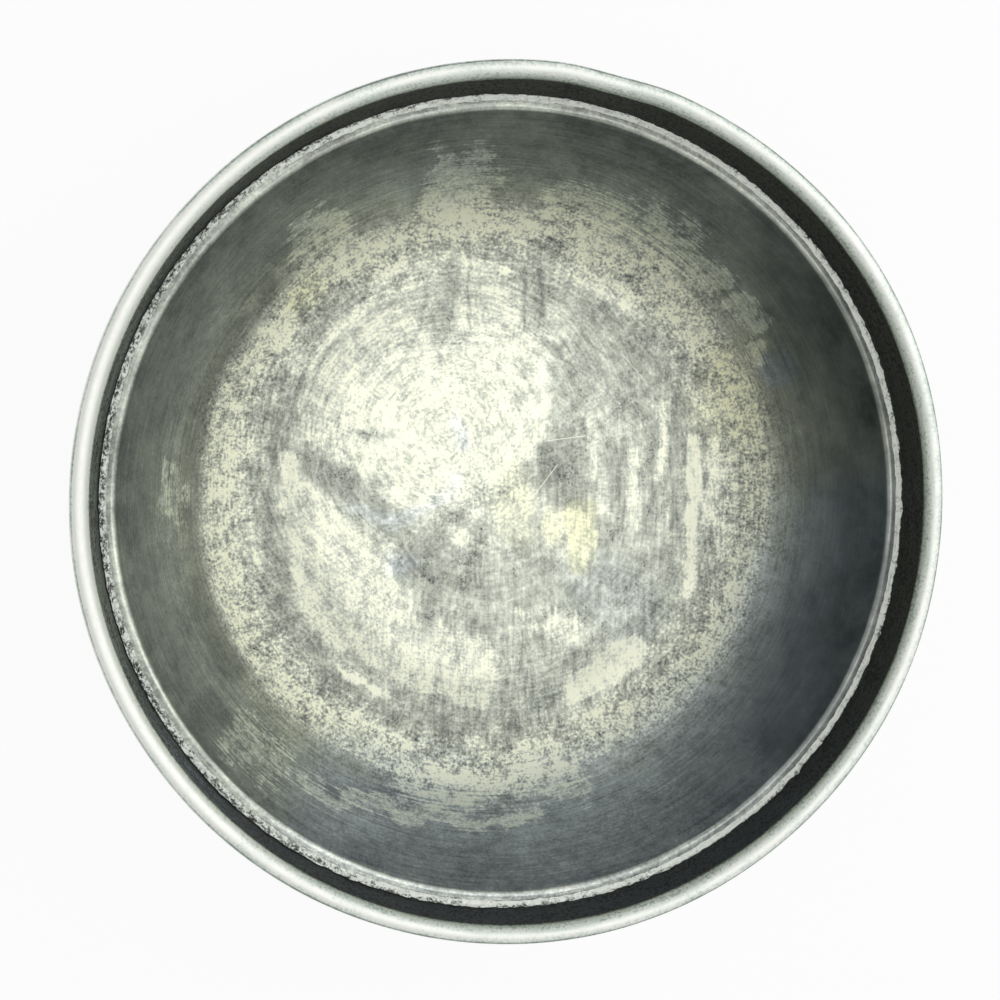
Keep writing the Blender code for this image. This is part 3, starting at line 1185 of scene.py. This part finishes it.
        # Its colour, with a straw tint on the crust and a blue one on the wall, less on ledge and flakes
        colour = add("ValToRGB", {"Fac": level}, stops=self.tin_tones)
        warm = bench.plus_share(covers[STRAW], crust, self.crust_straw, clamp=True)
        cool = bench.step(fields["run"], *metres(self.cool_mm), 0.0, self.wall_blue)
        cool = add("Math", {0: cool, 1: covers[BLUE]}, operation="ADD", use_clamp=True)
        below = bench.step(fields["run"], *metres(self.ledge_mm), 1.0, self.ledge_cool)
        bare = add("MapRange", {"Value": flaked, "To Min": 1.0, "To Max": self.flake_cool})
        for limit in (below, bare):
            cool = bench.times(cool, limit)
        for amount, tint in ((warm, self.straw), (cool, self.blued)):
            tinted = add("VectorMath", {0: colour, 1: tint}, operation="MULTIPLY")
            colour = bench.coated(colour, tinted, amount)

        # Gloss and relief
        rough, metal = (add("MapRange", {"Value": dry, "To Min": clean, "To Max": crusted})
                        for clean, crusted in (self.clean_to_dry_rough, self.clean_to_dry_metal))
        rough = bench.plus_share(rough, mottled, self.rough_in_mottle)
        raised = bench.plus_share(mottled, flaked, self.flake_relief)
        return bench.finish_metal(colour, metal, rough, raised, self.relief, self.relief_mm)


@dataclass(frozen=True)
class RimTin:
    """The same tin on the collar and rim.

    Gives the eye a dark collar, dulled by smoke and grease where no cloth reaches and darkened further by
    painted shade on its upright face, and a pale rim that hands have kept rubbed, with a painted
    highlight along its top.
    """

    name: str = "rubbed_rim_tin"
    blotch_mm: float = 9.0
    grain_mm: float = 1.1
    streak_mm: float = 0.9
    streak_turns: float = 6.0
    wander_mm: float = 1.2
    # Levels by height: the dark collar is partly painted shade on its upright face, and the near-white
    # top of the rim partly a painted highlight
    heights: tuple[tuple[float, float], ...] = (
        (65.0, 0.28), (68.0, 0.18), (72.0, 0.24), (78.0, 0.28), (79.4, 0.32), (80.0, 0.66), (80.8, 0.86),
        (82.2, 0.98), (84.0, 1.00))
    # Painted shade: a dark line on the rim's outer flank, taken off the levels by radius
    across: tuple[tuple[float, float], ...] = (
        (137.2, 0.00), (138.0, 0.06), (138.8, 0.18), (139.2, 0.50), (139.6, 0.20), (140.0, 0.25))
    flank_mm: tuple[float, float] = (134.8, 137.4)
    fleck_edge: tuple[float, float] = (-0.06, 0.16)
    fleck_drop: float = 0.36
    # Painted light: the left of the collar is lightened where it faces the light
    lit_left_mm: tuple[float, float] = (-60.0, -130.0)
    left_painted_light: float = 0.20
    cool_mm: tuple[float, float] = (-30.0, -120.0)
    cool_top_mm: tuple[float, float] = (79.5, 78.5)
    cool: tuple[float, float, float] = (0.86, 0.96, 1.40)
    shades: tuple[tuple[float, str], ...] = (
        (0.0, "#121413"), (0.3, "#3C3F3B"), (0.6, "#9CA79E"), (0.85, "#E0EAE1"), (1.0, "#FCFEF7"))
    metal: float = 0.5
    grain_span: tuple[float, float] = (0.3, 0.7)
    grain_rough: tuple[float, float] = (0.5, 0.68)
    relief: float = 0.3
    relief_mm: float = 0.2

    def ramp(self, bench: Bench, value: Any, rows: tuple[tuple[float, float], ...]) -> Any:
        """Adds a ramp of plain levels.

        Args:
            bench: The material's bench.
            value: The value that it reads, in metres.
            rows: Places in millimetres, with their levels.

        Returns:
            The ramp's node.
        """
        low, high = rows[0][0], rows[-1][0]
        place = bench.add("MapRange", {"Value": value, "From Min": low * MM, "From Max": high * MM})
        stops = [((at - low) / (high - low), (level, level, level)) for at, level in rows]
        return bench.add("ValToRGB", {"Fac": place}, stops=stops)

    def material(self) -> bpy.types.Material:
        """Builds the material on the bowl's true shape."""
        bench = Bench(self.name)
        add = bench.add
        spot = add("Attribute", attribute_name=TRUE_PLACE).outputs["Vector"]
        fields = bench.noises(spot, {"blotch": self.blotch_mm, "grain": self.grain_mm})
        right, back, height = add("SeparateXYZ", {0: spot}).outputs
        flat, radius = bench.from_above(spot)
        fields["streaks"] = bench.ring_noise(flat, height, self.streak_mm, self.streak_turns)

        # Dark collar, partly painted shade on its upright face, and pale rim, brightest on top as a
        # painted highlight, with a line of painted shade on the rim's outer flank
        wander = bench.blend(fields, {"blotch": self.wander_mm * MM})
        place = add("Math", {0: height, 1: wander}, operation="ADD")
        level = self.ramp(bench, place, self.heights)
        level = add("Math", {0: level, 1: self.ramp(bench, radius, self.across)}, operation="SUBTRACT")
        mottled = bench.blend(fields, {"blotch": 0.45, "grain": 0.75, "streaks": 0.45})
        level = add("Math", {0: level, 1: mottled}, operation="ADD")

        # Grey flecks on the rim's inner flank, and painted light on the left, where the collar faces the
        # light
        flecks = bench.step(bench.blend(fields, {"grain": 1.0, "blotch": 0.5}), *self.fleck_edge)
        flank = bench.step(radius, *metres(self.flank_mm), -self.fleck_drop, 0.0)
        level = bench.plus_share(level, flecks, flank)
        clean = bench.step(right, *metres(self.lit_left_mm), 0.0, self.left_painted_light)
        level = add("Math", {0: level, 1: clean}, operation="ADD", use_clamp=True)

        # Its colour, cooler on the front of the collar
        colour = add("ValToRGB", {"Fac": level}, stops=self.shades)
        cooled = add("VectorMath", {0: colour, 1: self.cool}, operation="MULTIPLY")
        below = bench.step(height, *metres(self.cool_top_mm))
        front = bench.times(bench.step(back, *metres(self.cool_mm)), below)
        colour = bench.coated(colour, cooled, front)
        rough = bench.step(fields["grain"], *self.grain_span, *self.grain_rough)
        return bench.finish_metal(colour, self.metal, rough, fields["grain"], self.relief, self.relief_mm)


@dataclass(frozen=True)
class AgedCopper:
    """Copper sheet that was planished by hand and has aged on the stove.

    Gives the eye a brown skin with bright, rubbed ridges between the hammer blows, a foot blackened by
    fire, and a little verdigris near the solder and under the rim.
    """

    name: str
    broad_mm: float = 26.0
    blotch_mm: float = 7.0
    grain_mm: float = 1.0
    scour_mm: float = 0.9
    scour_turns: float = 5.0
    tone: float = 0.52
    skin: tuple[tuple[float, str], ...] = (
        (0.22, "#4A291C"), (0.42, "#6F402B"), (0.60, "#92583B"), (0.85, "#BC7D55"))
    rubbed: str = "#D0946B"
    ridge_break: float = 0.6
    rubbed_edge: tuple[float, float] = (0.15, 0.85)
    most_rubbed: float = 0.3
    verdigris: str = "#6FA18D"
    verdigris_mm: tuple[float, float] = (68.0, 76.0)
    verdigris_fade_mm: float = 4.0
    bloom_edge: tuple[float, float] = (0.08, 0.26)
    soot: tuple[tuple[float, str], ...] = ((0.30, "#171210"), (0.55, "#2C211C"), (0.80, "#4B352A"))
    soot_mm: tuple[float, float] = (13.0, 1.0)
    soot_wander_mm: float = -30.0
    most_soot: float = 0.85
    foot_mm: float = 0.6
    foot_wander_mm: float = 2.0
    foot_soot: float = 0.15
    rough: float = 0.25
    rough_in_mottle: float = -0.22
    dull_rough: float = 0.72
    dull_metal: float = 0.25
    relief: float = 0.3
    relief_mm: float = 0.3

    def material(self) -> bpy.types.Material:
        """Builds the material on the bowl's own coordinates and how far the hammer ridges stand out."""
        bench = Bench(self.name)
        add = bench.add
        spot = add("TexCoord").outputs["Object"]
        sizes = {"broad": self.broad_mm, "blotch": self.blotch_mm, "grain": self.grain_mm}
        fields = bench.noises(spot, sizes)
        height = add("SeparateXYZ", {0: spot}).outputs["Z"]
        flat, radius = bench.from_above(spot)
        run = add("Math", {0: radius, 1: height}, operation="ADD")
        fields["scour"] = bench.ring_noise(flat, run, self.scour_mm, self.scour_turns)
        mottled = bench.blend(fields, {"broad": 0.6, "blotch": 0.45, "grain": 0.25, "scour": 0.45})
        tone = add("Math", {0: mottled, 1: self.tone}, operation="ADD")
        colour = add("ValToRGB", {"Fac": tone}, stops=self.skin)

        # Ridges between the hammer blows, rubbed where the skin is thin
        ridge = add("Attribute", attribute_name=RIDGE).outputs["Fac"]
        worn = bench.plus_share(ridge, mottled, self.ridge_break)
        worn = bench.step(worn, *self.rubbed_edge, 0.0, self.most_rubbed)
        colour = bench.coated(colour, linear(self.rubbed), worn)

        # Verdigris in a band near the seam
        low, high = metres(self.verdigris_mm)
        fade = self.verdigris_fade_mm * MM
        band = bench.times(bench.step(height, low - fade, low), bench.step(height, high + fade, high))
        bloom = bench.blend(fields, {"broad": 0.8, "blotch": 1.0, "grain": 0.7})
        bloom = bench.times(bench.step(bloom, *self.bloom_edge), band)
        colour = bench.coated(colour, linear(self.verdigris), bloom)

        # Soot from below, which is rubbed off the foot
        flame = bench.plus_share(height, mottled, self.soot_wander_mm * MM)
        burnt = bench.step(flame, *metres(self.soot_mm), 0.0, self.most_soot)
        foot = bench.plus_share(height, mottled, self.foot_wander_mm * MM)
        foot = bench.step(foot, self.foot_mm * MM, 0.0)
        burnt = add("Mix", {"Factor": foot, 2: burnt, 3: self.foot_soot})
        colour = bench.coated(colour, add("ValToRGB", {"Fac": tone}, stops=self.soot), burnt)

        # Gloss, which verdigris and soot dull, and relief
        dull = add("Math", {0: bloom, 1: burnt}, operation="MAXIMUM")
        rough = bench.plus_share(self.rough, mottled, self.rough_in_mottle)
        rough = add("Mix", {"Factor": dull, 2: rough, 3: self.dull_rough})
        metal = add("MapRange", {"Value": dull, "To Min": 1.0, "To Max": self.dull_metal})
        return bench.finish_metal(colour, metal, rough, mottled, self.relief, self.relief_mm)


@dataclass(frozen=True)
class MottledMetal:
    """A metal with light and dark blotches, for the small pieces with one finish all over."""

    name: str
    light: str
    dark: str
    blotch_mm: float
    grain_mm: float
    smooth: float = 0.35
    rough: float = 0.6
    metal: float = 1.0
    layers: float = 6.0
    shade_span: tuple[float, float] = (0.34, 0.66)
    gloss_span: tuple[float, float] = (0.3, 0.7)
    relief: float = 0.4
    relief_mm: float = 0.2

    def material(self) -> bpy.types.Material:
        """Builds the material on the bowl's own coordinates."""
        bench = Bench(self.name)
        spot = bench.add("TexCoord").outputs["Object"]
        fields = bench.noises(spot, {"blotch": self.blotch_mm, "grain": self.grain_mm}, self.layers)
        stops = tuple(zip(self.shade_span, (self.dark, self.light)))
        colour = bench.add("ValToRGB", {"Fac": fields["blotch"]}, stops=stops)
        gloss = bench.step(fields["blotch"], *self.gloss_span, self.rough, self.smooth)
        return bench.finish_metal(colour, self.metal, gloss, fields["grain"], self.relief, self.relief_mm)


@dataclass(frozen=True)
class SolderCrust:
    """Soft solder that ran into the corner in lumps and was never smoothed.

    Gives the eye a bright, crumbly line with dark pores, darker on the left.
    """

    name: str = "crusted_solder"
    lump_mm: float = 2.6
    pore_mm: float = 0.8
    level: float = 0.82
    left_drop: float = 0.24
    left_drop_mm: tuple[float, float] = (-20.0, -110.0)
    broken_mm: tuple[float, float] = (65.4, 66.6)
    broken_edge: tuple[float, float] = (0.10, -0.16)
    broken_drop: float = 0.42
    shades: tuple[tuple[float, str], ...] = (
        (0.0, "#343632"), (0.35, "#838781"), (0.6, "#DAE0D7"), (0.8, "#F9FDF5"))
    metal: float = 0.1
    rough_span: tuple[float, float] = (0.4, 1.0)
    rough: tuple[float, float] = (0.75, 0.5)
    relief: float = 0.5
    relief_mm: float = 0.3

    def material(self) -> bpy.types.Material:
        """Builds the material on the bowl's own coordinates."""
        bench = Bench(self.name)
        add = bench.add
        spot = add("TexCoord").outputs["Object"]
        fields = bench.noises(spot, {"lump": self.lump_mm, "pore": self.pore_mm})
        crumbly = bench.blend(fields, {"lump": 1.5, "pore": 1.3})
        right, _, height = add("SeparateXYZ", {0: spot}).outputs
        dull = bench.step(right, *metres(self.left_drop_mm), self.level, self.level - self.left_drop)
        level = add("Math", {0: crumbly, 1: dull}, operation="ADD")

        # Dark gaps between the crumbs of its upper edge
        gaps = bench.step(crumbly, *self.broken_edge, 0.0, -self.broken_drop)
        upper = bench.step(height, *metres(self.broken_mm))
        level = bench.plus_share(level, gaps, upper, clamp=True)
        colour = add("ValToRGB", {"Fac": level}, stops=self.shades)
        rough = bench.step(level, *self.rough_span, *self.rough)
        return bench.finish_metal(colour, self.metal, rough, crumbly, self.relief, self.relief_mm)


# Sub-assemblies


@dataclass
class Pan:
    """The copper pan and its tin lining.

    The arcs are how many pieces the knuckle has, and how many the floor's step and the ledge's edge have.
    """

    hand: HandWork
    steps: int = 512
    face_arcs: tuple[int, int] = (26, 8)
    back_arcs: tuple[int, int] = (10, 4)
    face_spacing: float = 0.0016
    shell_steps: int = 480
    shell_arcs: tuple[int, int] = (20, 6)
    shell_spacing: float = 0.0016
    groove_pitch: float = 0.0019
    groove_depth: float = 0.00010
    groove_reach: float = 0.0165
    groove_points: int = 44
    hammer_size: float = 0.011
    hammer_depth: float = 0.0012
    hammer_start: float = 0.006
    wave_size: float = 0.034
    wave_depth: float = 0.0005
    dent_size: float = 0.009
    dent_depth: float = 0.00016

    def groove(self, radius: float) -> float:
        """Depth of the turning marks round the middle of the floor."""
        fade = max(0.0, 1 - radius / self.groove_reach)
        return self.groove_depth * fade * (0.5 - 0.5 * math.cos(2 * math.pi * radius / self.groove_pitch))

    def lining(self) -> None:
        """Turns the tin lining, with its turning marks, waves, dents, and painted wear, highlight and
        shade.
        """
        face = SIZES.pan_face(SIZES.collar_foot, *self.face_arcs)
        grooved = [self.groove_reach * i / self.groove_points for i in range(self.groove_points)]
        middle = [Vector((radius, face[0].y - self.groove(radius))) for radius in grooved]
        rest = evenly([Vector((self.groove_reach, face[0].y)), *face[1:]], self.face_spacing)
        back = parallel(SIZES.pan_face(SIZES.collar_foot, *self.back_arcs), SIZES.tin)
        piece = turn_section("pan_tin", [*middle, *rest, *back[::-1]], self.steps, False)
        waves = texture("tin_waves", "CLOUDS", noise_scale=self.wave_size, noise_depth=1)
        dents = texture("tin_dents", "CLOUDS", noise_scale=self.dent_size, noise_depth=1)
        worn = weigh(piece, "worn_face", faces_up)
        emboss(piece, waves, self.wave_depth, vertex_group=worn)
        emboss(piece, dents, self.dent_depth, vertex_group=worn)
        paint(piece, PAN_MARKS)
        self.hand.bend(piece)
        stand_for(piece, CadNode.PAN_LINING, Slot.TIN, WipedTin().material())

    def planished(self, place: Vector, normal: Vector) -> float:
        """Weight of the hammered outside. The ring that the bowl stands on stays flat."""
        return eased(place.z / self.hammer_start) if normal.z < -LEAST_TILT else 0.0

    def shell(self) -> None:
        """Turns the copper pan, planishes its outside and marks the ridges between the blows."""
        lip_depth = SIZES.sheet + SIZES.gap
        foot = SIZES.collar_point(SIZES.collar_rise(0, lip_depth), lip_depth)
        lip = SIZES.collar_point(SIZES.lap_height, lip_depth)
        face = [*SIZES.pan_face(foot, *self.shell_arcs), lip]
        inside = parallel(face, SIZES.coat)
        outside = evenly(parallel(face, SIZES.wall), self.shell_spacing)
        piece = turn_section("pan_copper", inside + outside[::-1], self.shell_steps, False)
        blows = texture("hammer_blows", "VORONOI", noise_scale=self.hammer_size,
                        distance_metric="DISTANCE_SQUARED")
        before = places(piece)
        outer = weigh(piece, "planished", self.planished)
        emboss(piece, blows, self.hammer_depth, vertex_group=outer, mid_level=0.0)
        moved = np.linalg.norm(places(piece) - before, axis=1) / self.hammer_depth
        ridge = piece.data.attributes.new(RIDGE, "FLOAT", "POINT")
        ridge.data.foreach_set("value", moved)
        self.hand.bend(piece)
        stand_for(piece, CadNode.PAN, Slot.COPPER, AgedCopper("planished_copper").material())

    def build(self) -> None:
        """Builds both pieces."""
        self.shell()
        self.lining()


@dataclass
class Collar:
    """The copper collar with its rolled rim, its hoop, its closing seam and its tin."""

    hand: HandWork
    steps: int = 512
    band_steps: int = 360
    braze_steps: int = 2
    roll_segments: int = 30
    tinned_segments: int = 32
    wire_sides: int = 12
    spacing: float = 0.0012
    braze_width: float = 0.0012
    seam_azimuth: float = math.radians(-45)

    def outline(self) -> list[Vector]:
        """Section of the copper, from the collar's foot to the end of its curl."""
        rise = SIZES.collar_rise(-SIZES.tin, SIZES.wall)
        face = evenly(SIZES.collar_face(rise, SIZES.roll_turn, self.roll_segments), self.spacing)
        return parallel(face, SIZES.coat) + parallel(face, SIZES.wall)[::-1]

    def seam_angle(self, width: float) -> float:
        """Angle that a width takes up on the collar."""
        return width / SIZES.collar_foot.x

    def band(self) -> None:
        """Turns the copper band, open at its seam."""
        slot = self.seam_angle(self.braze_width + 2 * SIZES.gap)
        piece = turn_section("collar_copper", self.outline(), self.band_steps, True,
                             self.seam_azimuth + slot / 2, 2 * math.pi - slot)
        self.hand.bend(piece)
        stand_for(piece, CadNode.COLLAR, Slot.COPPER, AgedCopper("rolled_copper").material())

    def braze(self) -> None:
        """Turns the seam's hard solder from the same section."""
        turn = self.seam_angle(self.braze_width)
        piece = turn_section("collar_braze", self.outline(), self.braze_steps, True,
                             self.seam_azimuth - turn / 2, turn)
        self.hand.bend(piece)

        # Gives the eye a thin yellow line in the red copper
        brass = MottledMetal("hard_solder", "#C9A25A", "#7A5A2C", blotch_mm=2.0, grain_mm=0.5)
        stand_for(piece, CadNode.BRAZE, Slot.BRAZE, brass.material())

    def lining(self) -> None:
        """Turns the collar's tin, which is wiped over the rim."""
        rise = SIZES.collar_rise(SIZES.gap, SIZES.tin)
        face = evenly(SIZES.collar_face(rise, SIZES.tinned_turn, self.tinned_segments), self.spacing)
        piece = turn_section("collar_tin", face + parallel(face, SIZES.tin)[::-1], self.steps, True)
        self.hand.bend(piece)
        stand_for(piece, CadNode.COLLAR_LINING, Slot.TIN, RimTin().material())

    def wire(self) -> None:
        """Turns the iron hoop inside the rim."""
        section = arc(SIZES.bead_centre, SIZES.wire_radius, 2 * math.pi, 0, self.wire_sides)[:-1]
        piece = turn_section("rim_hoop", section, self.band_steps, True)
        self.hand.bend(piece)

        # Gives the eye a dull brown-grey wire, where the curl leaves it in sight
        iron = MottledMetal("drawn_iron", "#6A625B", "#3B332E", blotch_mm=4.0, grain_mm=0.6,
                            smooth=0.5, rough=0.75)
        stand_for(piece, CadNode.WIRE, Slot.IRON, iron.material())

    def build(self) -> None:
        """Builds all the collar's pieces."""
        self.band()
        self.braze()
        self.wire()
        self.lining()


@dataclass
class Seams:
    """The solder in the ledge's corner and on the lap outside."""

    hand: HandWork
    steps: int = 2000
    spacing: float = 0.0004
    ledge_width: float = 0.0014
    ledge_rise: float = 0.0032
    lap_leg: float = 0.0010
    hollow: float = 0.36
    lump_size: float = 0.0026
    lump_depth: float = 0.0009
    crumb_size: float = 0.0034
    crumb_depth: float = 0.0030
    settled: float = 0.0022
    settled_azimuth: float = math.radians(10)
    settled_from: float = 0.9
    settled_over: float = 1.2

    def upper(self, place: Vector, normal: Vector) -> float:
        """Weight of the crust's upper edge."""
        return eased((place.z - SIZES.ledge_z) / self.ledge_rise)

    def low_side(self, place: Vector, normal: Vector) -> float:
        """Weight of the crust's upper edge on the side where it settled lower."""
        towards = math.cos(math.atan2(place.y, place.x) - self.settled_azimuth)
        return eased((towards + self.settled_from) / self.settled_over) * self.upper(place, normal)

    def crumble(self, crust: bpy.types.Object) -> None:
        """Lets the ledge's crust settle on one side, and breaks up its upper edge."""
        settled = weigh(crust, "settled", self.low_side)
        ragged = weigh(crust, "ragged", self.upper)
        emboss(crust, None, -self.settled, mid_level=0.0, direction="Z", vertex_group=settled)
        crumbs = texture("solder_crumbs", "CLOUDS", noise_scale=self.crumb_size, noise_depth=2)
        emboss(crust, crumbs, self.crumb_depth, direction="Z", vertex_group=ragged)

    def fillet(self, name: str, first: Vector, corner: Vector, last: Vector) -> bpy.types.Object:
        """Turns a lumpy solder fillet.

        Args:
            name: The new object's name.
            first: The fillet's upper or outer end.
            corner: The corner that it fills.
            last: Its other end.

        Returns:
            The fillet.
        """
        middle = corner + (first - corner) * self.hollow + (last - corner) * self.hollow
        face = evenly([last, middle, first], self.spacing)
        piece = turn_section(name, [corner, *face], self.steps, True)
        lumps = texture("solder_lumps", "CLOUDS", noise_scale=self.lump_size, noise_depth=2)
        emboss(piece, lumps, self.lump_depth)
        self.hand.bend(piece)
        return piece

    def build(self) -> None:
        """Builds both fillets."""
        gap = SIZES.gap
        corner = SIZES.collar_point(gap, -gap)
        top = SIZES.collar_point(gap + self.ledge_rise, -gap)
        ledge = self.fillet("ledge_solder_crust", top, corner, corner - Vector((self.ledge_width, 0)))
        self.crumble(ledge)
        stand_for(ledge, CadNode.LEDGE_SOLDER, Slot.SOLDER, SolderCrust().material())

        # Gives the eye a pale, uneven line round the outside
        pale = MottledMetal("soft_solder", "#F4F6F1", "#96968F", blotch_mm=2.2, grain_mm=0.6,
                            smooth=0.45, rough=0.7, metal=0.3)
        rise = SIZES.lap_height + gap
        depth = SIZES.wall + gap
        lip = SIZES.collar_point(rise, depth + SIZES.sheet)
        top = SIZES.collar_point(rise + self.lap_leg, depth)
        lap = self.fillet("lap_solder_run", lip, SIZES.collar_point(rise, depth), top)
        stand_for(lap, CadNode.LAP_SOLDER, Slot.SOLDER, pale.material())


# Studio


@dataclass(frozen=True)
class Softbox:
    """A round soft lamp that shines at the bowl."""

    name: str
    place: tuple[float, float, float]
    width: float
    radiance: float

    def hang(self) -> None:
        """Adds the lamp, with its power worked out from how bright its face is."""
        lamp = bpy.data.lights.new(self.name, "AREA")
        lamp.shape = "DISK"
        lamp.size = self.width
        lamp.energy = self.radiance * math.pi * math.pi * self.width ** 2 / 4
        box = bpy.data.objects.new(self.name, lamp)
        bpy.context.scene.collection.objects.link(box)
        box.location = self.place
        box.rotation_euler = (-Vector(self.place)).to_track_quat("-Z", "Y").to_euler()


@dataclass
class Studio:
    """The floor, the lights and the camera."""

    eye: tuple[float, float, float] = (-0.0728, 0.0248, 0.5047)
    aim: tuple[float, float, float] = (-0.0087, 0.0029, 0.0813)
    lens_mm: float = 48.9
    sensor_mm: float = 36.0
    floor_width: float = 12.0
    backdrop_height: float = 3.5
    paper: str = "#F2F2F2"
    white_share: float = 0.93
    room_level: float = 0.42
    softboxes: tuple[Softbox, ...] = (
        Softbox("overhead_softbox", (0.16, 0.05, 1.25), 1.5, 1.18),
        Softbox("side_softbox", (0.9, 0.4, 0.85), 0.8, 2.2),
    )

    def floor(self) -> None:
        """Makes a plain white floor that keeps the bowl's shadow, with a far backdrop round it."""
        bpy.ops.object.select_all(action="DESELECT")
        bpy.ops.mesh.primitive_plane_add(size=self.floor_width)
        floor = bpy.context.object
        floor.name = "studio_floor"
        bpy.ops.object.mode_set(mode="EDIT")
        bpy.ops.mesh.select_mode(type="EDGE")
        bpy.ops.mesh.select_all(action="SELECT")
        bpy.ops.mesh.extrude_edges_move(TRANSFORM_OT_translate={"value": (0, 0, self.backdrop_height)})
        bpy.ops.object.mode_set(mode="OBJECT")
        bench = Bench("white_paper")
        add = bench.add
        path = add("LightPath")
        seen = path.outputs["Is Camera Ray"]
        for other in ("Is Glossy Ray", "Is Transmission Ray"):
            seen = add("Math", {0: seen, 1: path.outputs[other]}, operation="MAXIMUM")
        share = bench.times(seen, self.white_share)
        paper = add("BsdfDiffuse", {"Color": linear(self.paper)})
        white = add("Emission", {"Color": (1, 1, 1, 1), "Strength": 1.0})
        floor.data.materials.append(bench.finish(add("MixShader", {0: share, 1: paper, 2: white})))
        floor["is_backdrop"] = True

    def room(self) -> None:
        """Sets an even, dim room."""
        world = bpy.data.worlds.new("plain_room")
        bpy.context.scene.world = world
        world.use_nodes = True
        sky = world.node_tree.nodes["Background"]
        sky.inputs["Color"].default_value = (1, 1, 1, 1)
        sky.inputs["Strength"].default_value = self.room_level

    def camera(self) -> None:
        """Sets the camera above the bowl, a little to its left."""
        lens = bpy.data.cameras.new("camera")
        lens.sensor_width = self.sensor_mm
        lens.lens = self.lens_mm
        camera = bpy.data.objects.new("camera", lens)
        bpy.context.scene.collection.objects.link(camera)
        forward = (Vector(self.aim) - Vector(self.eye)).normalized()
        right = forward.cross(Vector((0, 1, 0))).normalized()
        turned = Matrix((right, right.cross(forward), -forward)).transposed().to_4x4()
        camera.matrix_world = Matrix.Translation(self.eye) @ turned
        bpy.context.scene.camera = camera

    def build(self) -> None:
        """Builds the studio."""
        self.floor()
        self.room()
        for softbox in self.softboxes:
            softbox.hang()
        self.camera()
        bpy.context.scene.view_settings.view_transform = "Standard"


def write_sizes() -> None:
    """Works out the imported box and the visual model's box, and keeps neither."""
    boxes = {"cad": CAD_BOX, "visual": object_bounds()}
    {name: [list(corner) for corner in box] for name, box in boxes.items()}


def main() -> None:
    """Builds the bowl and its studio."""
    logging.basicConfig(level=logging.INFO, format="%(relativeCreated)d %(name)s: %(message)s")
    hand = HandWork()
    for assembly in (Pan(hand), Collar(hand), Seams(hand), Studio()):
        assembly.build()
    write_sizes()


if __name__ == "__main__":
    main()
